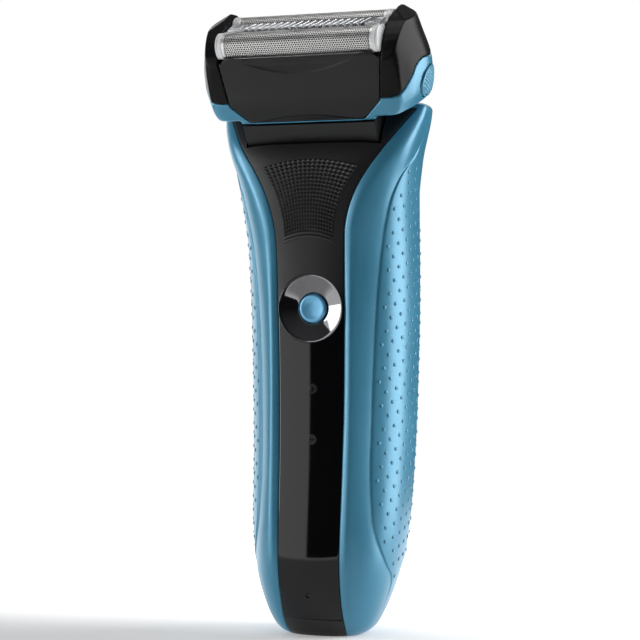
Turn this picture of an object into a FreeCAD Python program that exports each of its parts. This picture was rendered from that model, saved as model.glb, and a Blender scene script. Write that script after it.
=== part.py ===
import FreeCAD, Part
import math
import os
import re
import sys

# Electric foil shaver with a tilting head.  Millimetres, +Z up.
# The origin is the centre of the flat base.  The front (thumb side) faces -Y.
# The head has its own frame: origin on the tilt axis, tipped forward by
# headTilt; its parts are drawn in that frame and placed with headPlace().

V = FreeCAD.Vector
doc = FreeCAD.newDocument("FoilShaver")
sheet = doc.addObject("Spreadsheet::Sheet", "Params")

# ---------------------------------------------------------------- dimensions
DIMS = [
    ("wallT", 1.8), ("footWall", 1.0), ("seamGap", 0.16), ("capTop", 5.0), ("shellTop", 146.6), ("hornTop", 148.5),
    ("pivotZ", 150.0), ("headTilt", 27.0), ("drumR", 17.3), ("drumRearR", 10.0), ("drumHalf", 19.4),
    ("cradleR", 18.0), ("cradleRearR", 10.7), ("cradleHalf", 20.0), ("pinR", 1.25), ("pinClear", 0.05),
    ("lugR", 3.1), ("lugLen", 3.6),
    ("dishZ", 91.2), ("dishY", -13.6), ("dishR", 9.6), ("dishDepth", 2.6), ("buttonR", 4.0),
    ("buttonFaceY", -11.9), ("buttonBore", 4.15), ("buttonTravel", 0.7),
    ("batteryR", 7.1), ("batteryLen", 50.0), ("batteryZ", 16.0), ("batteryY", 8.4),
    ("motorR", 11.4), ("motorFlat", 8.8), ("motorLen", 30.0), ("motorZ", 78.0), ("motorY", 5.4), ("shaftR", 1.0), ("camThrow", 1.0),
    ("camR", 1.25), ("camZ", 113.5),
    ("boardLen", 78.0), ("boardWide", 15.0), ("boardT", 1.2), ("boardZ", 20.0), ("boardY", -6.6),
    ("socketW", 9.8), ("socketD", 6.6), ("socketWall", 0.8), ("socketDeep", 8.0), ("socketPinR", 0.8), ("socketPinGap", 4.4),
    ("cassTopHalf", 23.9), ("cassMidHalf", 22.2), ("cassLowHalf", 16.8), ("cassLowZ", 0.75), ("cassMidZ", 6.0),
    ("cassTopZ", 18.2), ("cassGap", 0.12), ("earIn", 20.0), ("rimTop", 19.5),
    ("foilR", 3.7), ("foilT", 0.2), ("foilHalf", 21.9), ("foilZ", 21.9), ("foilFrontY", -13.0), ("foilRearY", 0.2),
    ("foilCap", 1.85), ("foilFloat", 0.9), ("cutterR", 3.35), ("cutterHalf", 20.4), ("stroke", 1.0),
    ("combY", -6.4), ("combWide", 4.6), ("combZ", 24.0), ("combT", 0.9), ("combPitch", 2.0),
    ("trimLean", 12.9), ("trimY", 20.6), ("trimZ", 118.0), ("trimTravel", 12.0), ("trimWide", 24.0),
]
ROW = [1]
ALIAS = set()


def put(alias, value):
    cell = "B%d" % ROW[0]
    sheet.set("A%d" % ROW[0], alias)
    sheet.set(cell, repr(float(value)))
    sheet.setAlias(cell, alias)
    ALIAS.add(alias)
    ROW[0] += 1


for a, v in DIMS:
    put(a, v)

# Handle stations: height, half width, y of the widest point, y of the front,
# y of the back, half width of the front panel, half width of the rear shell,
# fullness of the front half and of the back half.
STATIONS = [
    (0.0, 10.3, -1.6, -8.9, 10.8, 8.2, 7.6, 2.30, 2.40),
    (0.6, 11.8, -1.4, -9.6, 11.8, 8.5, 8.1, 2.30, 2.40),
    (1.8, 13.4, -1.3, -10.6, 12.9, 8.7, 8.7, 2.30, 2.40),
    (3.2, 14.5, -1.1, -11.7, 13.8, 8.85, 9.3, 2.30, 2.40),
    (5.0, 15.5, -0.8, -12.8, 14.7, 8.9, 9.9, 2.30, 2.39),
    (8.0, 16.9, -0.1, -14.1, 15.7, 8.9, 10.5, 2.30, 2.39),
    (11.0, 18.1, 0.6, -15.0, 16.6, 8.92, 10.9, 2.30, 2.39),
    (15.0, 19.5, 1.4, -15.9, 17.6, 9.0, 11.3, 2.30, 2.38),
    (20.0, 20.9, 2.2, -16.4, 18.7, 9.03, 11.7, 2.30, 2.38),
    (26.0, 21.8, 3.1, -16.3, 19.8, 9.09, 12.0, 2.30, 2.37),
    (33.0, 22.3, 4.1, -15.9, 20.9, 9.19, 12.2, 2.30, 2.36),
    (41.0, 22.65, 5.3, -15.3, 21.9, 9.29, 12.4, 2.30, 2.36),
    (50.0, 22.95, 6.5, -14.7, 22.9, 9.37, 12.5, 2.30, 2.34),
    (60.0, 23.25, 7.3, -14.25, 23.6, 9.52, 12.5, 2.30, 2.33),
    (70.0, 23.5, 7.6, -14.05, 24.0, 9.63, 12.5, 2.30, 2.32),
    (80.0, 23.75, 7.75, -14.1, 24.25, 9.74, 12.5, 2.30, 2.31),
    (90.0, 24.0, 7.7, -14.35, 24.3, 9.88, 12.6, 2.30, 2.30),
    (100.0, 24.15, 7.2, -14.6, 24.0, 9.96, 12.9, 2.37, 2.33),
    (108.0, 24.3, 6.5, -14.95, 23.4, 10.12, 13.5, 2.44, 2.36),
    (114.0, 24.5, 5.6, -15.4, 22.6, 10.5, 14.3, 2.58, 2.38),
    (120.0, 24.9, 4.5, -15.5, 21.6, 12.0, 15.6, 2.83, 2.40),
    (125.0, 25.5, 3.4, -15.25, 20.4, 14.1, 17.1, 3.00, 2.52),
    (130.0, 26.3, 2.3, -14.6, 19.0, 17.1, 18.9, 3.30, 2.65),
    (134.0, 27.05, 1.4, -13.7, 17.7, 19.9, 20.5, 3.74, 2.75),
    (137.0, 27.75, 0.7, -12.4, 16.6, 21.95, 21.9, 4.12, 2.83),
    (140.0, 28.55, 0.3, -10.45, 15.5, 23.85, 23.3, 4.48, 2.93),
    (142.0, 29.1, 0.1, -9.0, 14.8, 25.1, 24.2, 4.66, 3.00),
    (144.0, 29.6, -0.1, -7.45, 14.1, 26.35, 25.2, 4.77, 3.07),
    (145.4, 29.9, -0.25, -6.25, 13.5, 27.25, 25.9, 4.85, 3.10),
    (146.6, 30.1, -0.4, -5.05, 12.9, 27.95, 26.4, 4.92, 3.15),
]
SCOL = ("Z", "W", "Yc", "Yf", "Yb", "Xf", "Xr", "Nf", "Nb")
for i, row in enumerate(STATIONS):
    for name, value in zip(SCOL, row):
        put("sec%s_%02d" % (name, i), value)

# Head stations in the head frame: height above the tilt axis, half width,
# y of the front, y of the rear, half width at the front crease.
HEADST = [
    (0.25, 28.6, -16.9, 3.2, 24.6), (0.8, 29.9, -17.3, 3.7, 25.6), (1.8, 31.0, -17.6, 4.1, 26.6), (3.5, 32.0, -17.8, 4.4, 27.4),
    (6.0, 32.7, -17.9, 4.6, 27.8), (10.0, 33.2, -17.7, 4.7, 28.0), (14.0, 32.95, -17.3, 4.7, 28.05), (18.0, 32.0, -16.9, 4.7, 27.75),
    (21.0, 31.2, -16.6, 4.6, 27.2), (24.0, 30.3, -16.2, 4.3, 26.5), (27.5, 29.1, -15.7, 3.8, 25.7),
]
HCOL = ("Z", "W", "Yf", "Yb", "Xc")
for i, row in enumerate(HEADST):
    for name, value in zip(HCOL, row):
        put("hed%s_%02d" % (name, i), value)
doc.recompute()


def dim(alias):
    return float(getattr(sheet, alias))


def ex(text):
    return re.sub(r"[A-Za-z_]\w*", lambda m: "Params." + m.group(0) if m.group(0) in ALIAS else m.group(0), str(text))


NODES = []


def bind(obj, prop, text):
    if isinstance(text, str):
        obj.setExpression(prop, ex(text))
    else:
        cur = obj
        path = prop.split(".")
        if path[0] == "Placement":
            pl = obj.Placement
            setattr(pl.Base, path[2], float(text))
            obj.Placement = pl
        else:
            setattr(cur, prop, float(text))


def place(obj, x, y, z):
    for ax, val in (("x", x), ("y", y), ("z", z)):
        bind(obj, "Placement.Base." + ax, val)
    return obj


ROT = {"Z": FreeCAD.Rotation(), "X": FreeCAD.Rotation(V(0, 1, 0), 90), "Y": FreeCAD.Rotation(V(1, 0, 0), -90),
       "-Y": FreeCAD.Rotation(V(1, 0, 0), 90), "-Z": FreeCAD.Rotation(V(1, 0, 0), 180)}


def box(name, lx, ly, lz, x, y, z):
    o = doc.addObject("Part::Box", name)
    bind(o, "Length", lx)
    bind(o, "Width", ly)
    bind(o, "Height", lz)
    return place(o, x, y, z)


def cyl(name, r, length, x, y, z, axis="Z"):
    o = doc.addObject("Part::Cylinder", name)
    bind(o, "Radius", r)
    bind(o, "Height", length)
    o.Placement = FreeCAD.Placement(V(), ROT[axis])
    return place(o, x, y, z)


def cone(name, r1, r2, length, x, y, z, axis="Z"):
    o = doc.addObject("Part::Cone", name)
    bind(o, "Radius1", r1)
    bind(o, "Radius2", r2)
    bind(o, "Height", length)
    o.Placement = FreeCAD.Placement(V(), ROT[axis])
    return place(o, x, y, z)


def sphere(name, r, x, y, z):
    o = doc.addObject("Part::Sphere", name)
    bind(o, "Radius", r)
    return place(o, x, y, z)


def fuse(name, parts):
    o = doc.addObject("Part::MultiFuse", name)
    o.Shapes = parts
    return o


def group(name, parts):
    o = doc.addObject("Part::Compound", name)
    o.Links = parts
    return o


def cut(name, base, tools):
    tool = tools[0] if len(tools) == 1 else fuse(name + "_tools", tools)
    o = doc.addObject("Part::Cut", name)
    o.Base = base
    o.Tool = tool
    return o


def common(name, a, b):
    o = doc.addObject("Part::Common", name)
    o.Base = a
    o.Tool = b
    return o


def feat(name, shape):
    o = doc.addObject("Part::Feature", name)
    o.Shape = shape
    return o


def headPlace(o):
    o.Placement = FreeCAD.Placement(V(0, 0, dim("pivotZ")), FreeCAD.Rotation(V(1, 0, 0), dim("headTilt")))
    if not o.isDerivedFrom("Part::Feature") or o.TypeId != "Part::Feature":
        o.setExpression("Placement.Base.z", ex("pivotZ"))
        o.setExpression("Placement.Rotation.Angle", ex("headTilt * 1 deg"))
    return o


def node(label, obj, head=False):
    doc.recompute()
    if head:
        headPlace(obj)
        doc.recompute()
    obj.Label = label
    NODES.append(obj)
    return obj


# ------------------------------------------------------ PartDesign helpers
def origin(body, role):
    return [f for f in body.Origin.OriginFeatures if f.Role == role][0]


def sketch_poly(body, name, pts, plane):
    """A closed outline whose corners are dimensioned from the origin."""
    sk = body.newObject("Sketcher::SketchObject", name)
    sk.AttachmentSupport = [(origin(body, plane), "")]
    sk.MapMode = "FlatFace"
    import Sketcher
    doc.recompute()

    def num(t):
        if isinstance(t, str):
            return float(eval_dim(t))
        return float(t)
    n = len(pts)
    xy = [(num(p[0]), num(p[1])) for p in pts]
    for k in range(n):
        a, b = xy[k], xy[(k + 1) % n]
        sk.addGeometry(Part.LineSegment(V(a[0], a[1], 0), V(b[0], b[1], 0)), False)
    for k in range(n):
        sk.addConstraint(Sketcher.Constraint("Coincident", k, 2, (k + 1) % n, 1))
    for k in range(n):
        for axis, coord, t in (("DistanceX", 0, pts[k][0]), ("DistanceY", 1, pts[k][1])):
            idx = sk.addConstraint(Sketcher.Constraint(axis, -1, 1, k, 1, xy[k][coord]))
            if isinstance(t, str):
                sk.setExpression("Constraints[%d]" % idx, ex(t))
    return sk


def sketch_circles(body, name, circles, plane):
    sk = body.newObject("Sketcher::SketchObject", name)
    sk.AttachmentSupport = [(origin(body, plane), "")]
    sk.MapMode = "FlatFace"
    import Sketcher
    doc.recompute()
    for cx, cy, r in circles:
        vals = [float(eval_dim(t)) if isinstance(t, str) else float(t) for t in (cx, cy, r)]
        g = sk.addGeometry(Part.Circle(V(vals[0], vals[1], 0), V(0, 0, 1), vals[2]), False)
        idx = sk.addConstraint(Sketcher.Constraint("Radius", g, vals[2]))
        if isinstance(r, str):
            sk.setExpression("Constraints[%d]" % idx, ex(r))
        for axis, t, v in (("DistanceX", cx, vals[0]), ("DistanceY", cy, vals[1])):
            idx = sk.addConstraint(Sketcher.Constraint(axis, -1, 1, g, 3, v))
            if isinstance(t, str):
                sk.setExpression("Constraints[%d]" % idx, ex(t))
    return sk


def eval_dim(text):
    """Value of a short sum or product of sheet names, read from the sheet itself."""
    total = 0.0
    for sign, term in re.findall(r"([+-]?)\s*([^+-]+)", text):
        prod = 1.0
        for op, fac in re.findall(r"([*/]?)\s*([A-Za-z_0-9.]+)", term):
            v = dim(fac) if fac in ALIAS else float(fac)
            prod = prod / v if op == "/" else prod * v
        total += -prod if sign == "-" else prod
    return total


def pad(body, sk, length, symmetric=False, reverse=False, name="Pad"):
    p = body.newObject("PartDesign::Pad", body.Name + name)
    p.Profile = sk
    bind(p, "Length", length)
    if symmetric:
        if hasattr(p, "SideType"):
            p.SideType = "Symmetric"
        else:
            p.Midplane = True
    p.Reversed = reverse
    doc.recompute()
    return p


def poly_body(name, pts, length, plane="YZ_Plane", symmetric=True, reverse=False):
    b = doc.addObject("PartDesign::Body", name)
    sk = sketch_poly(b, name + "Sketch", pts, plane)
    pad(b, sk, length, symmetric, reverse)
    return b


def disc_body(name, circles, length, plane="XY_Plane", symmetric=False, reverse=False):
    b = doc.addObject("PartDesign::Body", name)
    sk = sketch_circles(b, name + "Sketch", circles, plane)
    pad(b, sk, length, symmetric, reverse)
    return b


def rev_body(name, pts, plane="XZ_Plane", axis="V_Axis"):
    b = doc.addObject("PartDesign::Body", name)
    sk = sketch_poly(b, name + "Sketch", pts, plane)
    r = b.newObject("PartDesign::Revolution", name + "Turn")
    r.Profile = sk
    r.ReferenceAxis = (sk, [axis])
    r.Angle = 360
    doc.recompute()
    return b


# --------------------------------------------------------- handle sections
def station(i):
    return [dim("sec%s_%02d" % (c, i)) for c in SCOL]


def half_outline(st, steps=240):
    """Points of one side of a section, front centre to back centre."""
    z, w, yc, yf, yb, xf, xr, nf, nb = st
    pts = []
    for k in range(steps + 1):
        a = math.pi * k / steps
        sa, ca = abs(math.sin(a)), math.cos(a)
        n = nf if ca >= 0 else nb
        e = 2.0 / n
        x = w * sa ** e
        y = yc - (yc - yf) * ca ** e if ca >= 0 else yc + (yb - yc) * (-ca) ** e
        pts.append((x, y))
    return pts


def resample(pts, step=0.25):
    out = [pts[0]]
    acc = [0.0]
    for a, b in zip(pts, pts[1:]):
        acc.append(acc[-1] + math.dist(a, b))
    total = acc[-1]
    n = int(total / step)
    k = 0
    for q in range(1, n + 1):
        s = total * q / n
        while acc[k + 1] < s and k < len(acc) - 2:
            k += 1
        t = (s - acc[k]) / max(1e-9, acc[k + 1] - acc[k])
        out.append((pts[k][0] + (pts[k + 1][0] - pts[k][0]) * t, pts[k][1] + (pts[k + 1][1] - pts[k][1]) * t))
    return out


def offset(pts, d):
    """Move a half outline inwards by d along its normals."""
    out = []
    n = len(pts)
    for k in range(n):
        a = pts[max(0, k - 1)]
        b = pts[min(n - 1, k + 1)]
        tx, ty = b[0] - a[0], b[1] - a[1]
        ln = math.hypot(tx, ty)
        nx, ny = -ty / ln, tx / ln
        out.append((pts[k][0] + nx * d, pts[k][1] + ny * d))
    return out


def at_x(pts, x, front=True):
    """Fractional index where the half outline passes the half width x."""
    n = len(pts)
    rng = range(n - 1) if front else range(n - 2, -1, -1)
    for k in rng:
        a, b = pts[k][0], pts[k + 1][0]
        if min(a, b) <= x <= max(a, b):
            return k + (x - a) / (b - a if abs(b - a) > 1e-9 else 1e-9)
    raise ValueError("section never reaches x = %s" % x)


def pick(pts, t):
    k = min(len(pts) - 2, max(0, int(t)))
    u = t - k
    return (pts[k][0] + (pts[k + 1][0] - pts[k][0]) * u, pts[k][1] + (pts[k + 1][1] - pts[k][1]) * u)


def spline(pts):
    c = Part.BSplineCurve()
    c.interpolate(pts)
    return c.toShape()


def strip_wire(st, which, wall, count=13, grow=0.0):
    z = st[0]
    o = resample(half_outline(st))
    step = math.dist(o[10], o[11])
    inn = offset(o, wall)
    g = dim("seamGap") / 2 / step * (-1.0 if grow else 1.0)
    tf = at_x(o, st[5], True)
    tr = at_x(o, st[6], False)
    if which == "front":
        ts = [(tf - g) * (2.0 * k / (count - 1) - 1) for k in range(count)]
    elif which == "side":
        ts = [tf + g + (tr - tf - 2 * g) * k / (count - 1) for k in range(count)]
    else:
        end = len(o) - 1
        ts = [(end - tr - g) * (2.0 * k / (count - 1) - 1) for k in range(count)]

    def pt(line, t):
        if which == "front":
            q = pick(line, abs(t))
            return V(math.copysign(q[0], t) if abs(t) > 1e-9 else 0.0, q[1], z)
        if which == "side":
            q = pick(line, t)
            return V(q[0], q[1], z)
        q = pick(line, len(line) - 1 - abs(t))
        return V(math.copysign(q[0], -t) if abs(t) > 1e-9 else 0.0, q[1], z)
    skin = offset(o, -grow) if grow else o
    a = [pt(skin, t) for t in ts]
    b = [pt(inn, t) for t in ts]
    if which != "side":
        a[count // 2].x = 0.0
        b[count // 2].x = 0.0
    edges = [spline(a), Part.makeLine(a[-1], b[-1]), spline(b[::-1]), Part.makeLine(b[0], a[0])]
    return Part.Wire(edges)


def strip(which, first, last, wall):
    wires = []
    for i in range(len(STATIONS)):
        st = station(i)
        if first - 1e-6 <= st[0] <= last + 1e-6:
            wires.append(strip_wire(st, which, wall))
    return Part.makeLoft(wires, True, False)


def mirror_x(shape):
    return shape.mirror(V(0, 0, 0), V(1, 0, 0))


def mid_station(z):
    rows = [station(i) for i in range(len(STATIONS))]
    for a, b in zip(rows, rows[1:]):
        if a[0] <= z <= b[0]:
            t = (z - a[0]) / (b[0] - a[0])
            return [p + (q - p) * t for p, q in zip(a, b)]
    return rows[-1]


def ring_wire(st, inset, count=16):
    o = resample(half_outline(st))
    if inset:
        o = offset(o, inset)
    n = len(o) - 1
    right = [pick(o, n * k / float(count)) for k in range(count + 1)]
    pts = [V(0, right[0][1], st[0])] + [V(p[0], p[1], st[0]) for p in right[1:-1]]
    pts += [V(0, right[-1][1], st[0])] + [V(-p[0], p[1], st[0]) for p in right[-2:0:-1]]
    c = Part.BSplineCurve()
    c.interpolate(Points=pts, PeriodicFlag=True)
    return Part.Wire([c.toShape()])


def ring_loft(zs, inset):
    return Part.makeLoft([ring_wire(mid_station(z), inset) for z in zs], True, False)


def prism_x(pts, x0, x1):
    """A closed outline of (y, z) points drawn along X."""
    w = Part.makePolygon([V(x0, p[0], p[1]) for p in pts] + [V(x0, pts[0][0], pts[0][1])])
    return Part.Face(w).extrude(V(x1 - x0, 0, 0))


wall = dim("wallT")
gap = dim("seamGap")
zcap = dim("capTop")
zP = dim("pivotZ")
top = dim("shellTop")
zl = [st[0] for st in STATIONS]

# The cradle: the room between the horns in which the head's drum turns.
RC, RR, HC = dim("cradleR"), dim("cradleRearR"), dim("cradleHalf")


def arc_pts(cy, cz, r, a0, a1, n):
    return [(cy + r * math.cos(math.radians(a0 + (a1 - a0) * k / n)), cz + r * math.sin(math.radians(a0 + (a1 - a0) * k / n)))
            for k in range(n + 1)]


def arc_face_x(segs, x0, x1):
    """Outline of lines and arcs in the (y, z) plane, drawn along X."""
    edges = []
    for s in segs:
        p = [V(x0, q[0], q[1]) for q in s]
        edges.append(Part.makeLine(p[0], p[1]) if len(p) == 2 else Part.Arc(p[0], p[1], p[2]).toShape())
    return Part.Face(Part.Wire(edges)).extrude(V(x1 - x0, 0, 0))


def polar(r, deg, cz=None):
    return (r * math.cos(math.radians(deg)), (zP if cz is None else cz) + r * math.sin(math.radians(deg)))


lip = polar(RC, -135.0)
cradle_segs = [
    [(-40.0, lip[1]), lip],
    [lip, polar(RC, -112.0), polar(RC, -90.0)],
    [polar(RC, -90.0), polar(RR, -90.0)],
    [polar(RR, -90.0), polar(RR, -45.0), polar(RR, 0.0)],
    [polar(RR, 0.0), (RR, zP + 12)],
    [(RR, zP + 12), (-40.0, zP + 12)],
    [(-40.0, zP + 12), (-40.0, lip[1])],
]
cradle = arc_face_x(cradle_segs, -HC, HC)

# Front panel: one strip, opened at the top for the cradle, with the seat of
# the dish cut through it.
front = feat("FrontStrip", strip("front", zcap + 3, top, wall).cut(cradle))
front_low = feat("FrontFoot", Part.makeLoft([strip_wire(mid_station(z), "front", wall) for z in (zcap + gap, 6.0, 7.0, 8.0)], True, False))
dish_hole = cyl("DishHole", "dishR + 0.05", 12, 0, -20, "dishZ", "Y")
lens_hole = cyl("LensHole", 0.95, 8, 0, -19, 12.0, "Y")
window_hole_a = cyl("WindowHoleA", 1.55, 8, 0.8, -19, 69.0, "Y")
window_hole_b = cyl("WindowHoleB", 1.55, 8, 0.8, -19, 55.0, "Y")
front_all = fuse("FrontAll", [front, front_low])
node("front_panel", cut("FrontPanel", front_all, [dish_hole, lens_hole, window_hole_a, window_hole_b]))

# Rear shell: the slot of the long-hair trimmer is cut into its upper half.
rear = feat("RearStrip", strip("rear", zcap + 3, top, wall).cut(cradle))
rear_low = feat("RearFoot", Part.makeLoft([strip_wire(mid_station(z), "rear", wall) for z in (zcap + gap, 6.0, 7.0, 8.0)], True, False))
rear_all = fuse("RearAll", [rear, rear_low])
TRIM = FreeCAD.Placement(V(0, dim("trimY"), dim("trimZ")), FreeCAD.Rotation(V(1, 0, 0), dim("trimLean")))


def trimPlace(o):
    """Put a part drawn in the trimmer's own frame onto the leaning back."""
    o.Placement = TRIM.multiply(o.Placement)
    return o


trim_window = trimPlace(box("TrimWindow", "trimWide + 0.6", 12, 60, "-trimWide/2 - 0.3", -4.1, -15.2))
node("rear_shell", cut("RearShell", rear_all, [trim_window]))

# Side panels: soft-touch shells that end in the horns beside the head.
def horn_wire(st, z, s, cx, cy, count=17):
    o = resample(half_outline(st))
    t0, t1 = at_x(o, HC + 0.02, True), at_x(o, HC + 0.02, False)
    pts = [pick(o, t0 + (t1 - t0) * k / (count - 1)) for k in range(count)]
    q = [V(cx + (p[0] - cx) * s, cy + (p[1] - cy) * s, z) for p in pts]
    return Part.Wire([spline(q), Part.makeLine(q[-1], q[0])])


side_hi = strip("side", zcap + 3, top, wall)
side_lo = Part.makeLoft([strip_wire(mid_station(z), "side", wall) for z in (5.0, 6.0, 7.0, 8.0)], True, False)
foot_wall = dim("footWall")
side_foot = Part.makeLoft([strip_wire(station(i), "side", foot_wall) for i in range(5)], True, False)
ht = dim("hornTop")
last = station(len(STATIONS) - 1)
horn_cap = Part.makeLoft([horn_wire(last, z, s, 26.6, 1.2) for z, s in
                          ((top, 1.0), (top + 0.5, 0.955), (top + 1.0, 0.85), (top + 1.4, 0.68), (ht - 0.18, 0.45), (ht, 0.16))], True, False)
side = side_hi.fuse([side_lo, side_foot, horn_cap]).removeSplitter()
side = side.cut(Part.makeBox(dim("lugLen") + 0.9, 6.0, 5, V(HC - 0.3, -3.0, top - 0.6)))
node("right_side_panel", feat("RightSide", side))
node("left_side_panel", feat("LeftSide", mirror_x(side)))

# Bottom cap: flat underneath, rounded edge, socket well through it.  The feet
# of the side panels stand beside it in rebates.
rebate = Part.makeLoft([strip_wire(station(i), "side", foot_wall + 0.12, grow=0.5) for i in range(5)], True, False)
cap_loft = feat("CapLoft", Part.makeLoft([ring_wire(station(i), 0.0) for i in range(5)], True, False).cut([rebate, mirror_x(rebate)]))
cap_well = box("CapWell", "socketW + 0.1", "socketD + 0.1", 8, "-socketW/2 - 0.05", "-socketD/2 - 0.05", -1)
cap_bore_a = cyl("CapBoreA", 1.15, 8, 8.0, 3.0, -1)
cap_bore_b = cyl("CapBoreB", 1.15, 8, -8.0, 3.0, -1)
cap_sink_a = cyl("CapSinkA", 2.05, 3.4, 8.0, 3.0, -1)
cap_sink_b = cyl("CapSinkB", 2.05, 3.4, -8.0, 3.0, -1)
node("bottom_cap", cut("BottomCap", cap_loft, [cap_well, cap_bore_a, cap_bore_b, cap_sink_a, cap_sink_b]))

# Neck yoke: closes the neck under the cradle and carries two lugs for the pins.
yoke_body = feat("YokeBody", ring_loft([124.0, 127.0, 130.0, 134.0, 137.0, 140.0, 142.0, 144.0, 145.4, 146.4], wall + 0.12)
                 .cut(arc_face_x(cradle_segs, -HC, HC)))
yoke_room = box("YokeRoom", 34, 20, 12, -17, -9.5, 117)
yoke_bore = cyl("YokeBore", "pinR + pinClear", 60, -30, 0, "pivotZ", "X")
lug_r = box("LugStemR", "lugLen", 5.2, 10, "cradleHalf + 0.3", -2.6, 140.2)
lug_rc = cyl("LugEyeR", "lugR", "lugLen", "cradleHalf + 0.3", 0, "pivotZ", "X")
lug_l = box("LugStemL", "lugLen", 5.2, 10, "-cradleHalf - 0.3 - lugLen", -2.6, 140.2)
lug_lc = cyl("LugEyeL", "lugR", "lugLen", "-cradleHalf - 0.3 - lugLen", 0, "pivotZ", "X")
pin_hole = box("PinHole", 7.2, 6.4, 30, -3.6, -3.2, 116)
yoke = cut("YokeCut", fuse("YokeFuse", [yoke_body, lug_r, lug_rc, lug_l, lug_lc]), [yoke_room, yoke_bore, pin_hole, trimPlace(box("YokeWindow", "trimWide + 0.8", 12, 60, "-trimWide/2 - 0.4", -4.2, -15.2))])
node("neck_yoke", yoke)

# ------------------------------------------------------------ inside parts
# Sled that carries the board, the cell and the motor plate.
sled = box("SledPlate", 17, 1.3, 99, -8.5, -5.2, 8.5)
rib_a = box("SledRibA", 17, 8, 4, -8.5, -3.9, 20)
rib_b = box("SledRibB", 17, 8, 4, -8.5, -3.9, 58)
foot = box("SledFoot", 23, 9.0, 3.2, -11.5, -5.2, 11)
boss_a = cyl("SledBossA", 2.5, 8.2, 8.0, 3.0, 6.9)
boss_b = cyl("SledBossB", 2.5, 8.2, -8.0, 3.0, 6.9)
cell_room = cyl("CellRoom", "batteryR + 0.12", "batteryLen + 0.6", 0, "batteryY", "batteryZ - 0.3")
bore_a = cyl("SledBoreA", 1.1, 12, 8.0, 3.0, 4)
bore_b = cyl("SledBoreB", 1.1, 12, -8.0, 3.0, 4)
sock_room = box("SledSocketRoom", "socketW + 0.6", "socketD + 1", 8, "-socketW/2 - 0.3", "-socketD/2 - 0.5", 4)
node("inner_chassis", cut("Chassis", fuse("ChassisFuse", [sled, rib_a, rib_b, foot, boss_a, boss_b]), [cell_room, bore_a, bore_b, sock_room]))

node("battery_cell", disc_body("BatteryCell", [(0.0, "batteryY", "batteryR")], "batteryLen"))
NODES[-1].Placement = FreeCAD.Placement(V(0, 0, dim("batteryZ")), FreeCAD.Rotation())
NODES[-1].setExpression("Placement.Base.z", ex("batteryZ"))
tab_a = box("TabA", 5, 12.5, 0.35, -2.5, -3.7, "batteryZ + batteryLen + 0.05")
tab_b = box("TabB", 5, 9.5, 0.35, -2.5, -0.2, "batteryZ - 0.4")
node("battery_tabs", group("BatteryTabs", [tab_a, tab_b]))

node("circuit_board", box("CircuitBoard", "boardWide", "boardT", "boardLen", "-boardWide/2", "boardY", "boardZ"))
sw_body = box("SwitchBody", 6.0, 0.7, 6.0, -3.0, "boardY - 0.7", "dishZ - 3")
sw_cap = cyl("SwitchPlunger", 1.7, 0.35, 0, "boardY - 0.7", "dishZ", "-Y")
node("tact_switch", fuse("TactSwitch", [sw_body, sw_cap]))

# Motor with two flats, its plate with the slider guides, and two screws.
can = common("MotorFlats", cyl("MotorRound", "motorR", "motorLen", 0, "motorY", "motorZ"),
             box("MotorBox", 26, "2*motorFlat", 34, -13, "motorY - motorFlat", "motorZ - 1"))
node("motor_can", cut("MotorCan", can, [cyl("CanBoreA", 1.0, 6, 6, "motorY", "motorZ + motorLen - 4"),
                                        cyl("CanBoreB", 1.0, 6, -6, "motorY", "motorZ + motorLen - 4"),
                                        cyl("CanBoreC", "shaftR + 0.06", 12, 0, "motorY", "motorZ + motorLen - 9")]))
plate = box("PlateBase", 25, 20.5, 2.0, -12.5, -5.0, "motorZ + motorLen + 0.02")
rail_a = box("PlateRailA", 22, 1.5, 6.4, -11, -5.0, "motorZ + motorLen + 1.5")
rail_b = box("PlateRailB", 22, 1.5, 6.4, -11, 11.0, "motorZ + motorLen + 1.5")
node("motor_plate", cut("MotorPlate", fuse("PlateFuse", [plate, rail_a, rail_b]), [
    cyl("PlateBoreA", 1.0, 4, 6, "motorY", "motorZ + motorLen - 1"), cyl("PlateBoreB", 1.0, 4, -6, "motorY", "motorZ + motorLen - 1"),
    cyl("PlateBoreC", 1.6, 4, 0, "motorY", "motorZ + motorLen - 1")]))
screw = []
for tag, sx in (("A", 6), ("B", -6)):
    screw.append(fuse("MotorScrew" + tag, [cyl("MotorShank" + tag, 0.95, 5, sx, "motorY", "motorZ + motorLen - 2.9"),
                                           cyl("MotorHead" + tag, 1.8, 1.1, sx, "motorY", "motorZ + motorLen + 2.05")]))
node("motor_screws", group("MotorScrews", screw))

# Motor shaft with its eccentric (one turned and one offset pin, fused).
shaft = fuse("MotorShaft", [cyl("ShaftRod", "shaftR", 13.0, 0, "motorY", "motorZ + motorLen - 8"),
                            cyl("ShaftHub", 2.4, 1.6, 0, "motorY", "motorZ + motorLen + 3.3"),
                            cyl("ShaftCam", "camR", 4.4, "camThrow", "motorY", "motorZ + motorLen + 4.8")])
node("motor_shaft", shaft)

# Oscillating slider and the ball-ended pin that reaches the tilt axis.
slider_plate = box("SliderPlate", 17, 14.2, 2.4, -8.5, -3.35, "camZ")
slider_slot = box("SliderSlot", 7.4, 5.6, 6, -3.7, "motorY - 2.8", "camZ - 2")
node("drive_slider", cut("DriveSlider", slider_plate, [slider_slot]))
node("drive_pin", fuse("DrivePin", [cyl("DriveStem", 1.2, "pivotZ - camZ - 2.45", 0, 0, "camZ + 2.42"), sphere("DriveBall", 1.4, 0, 0, "pivotZ")]))

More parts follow.
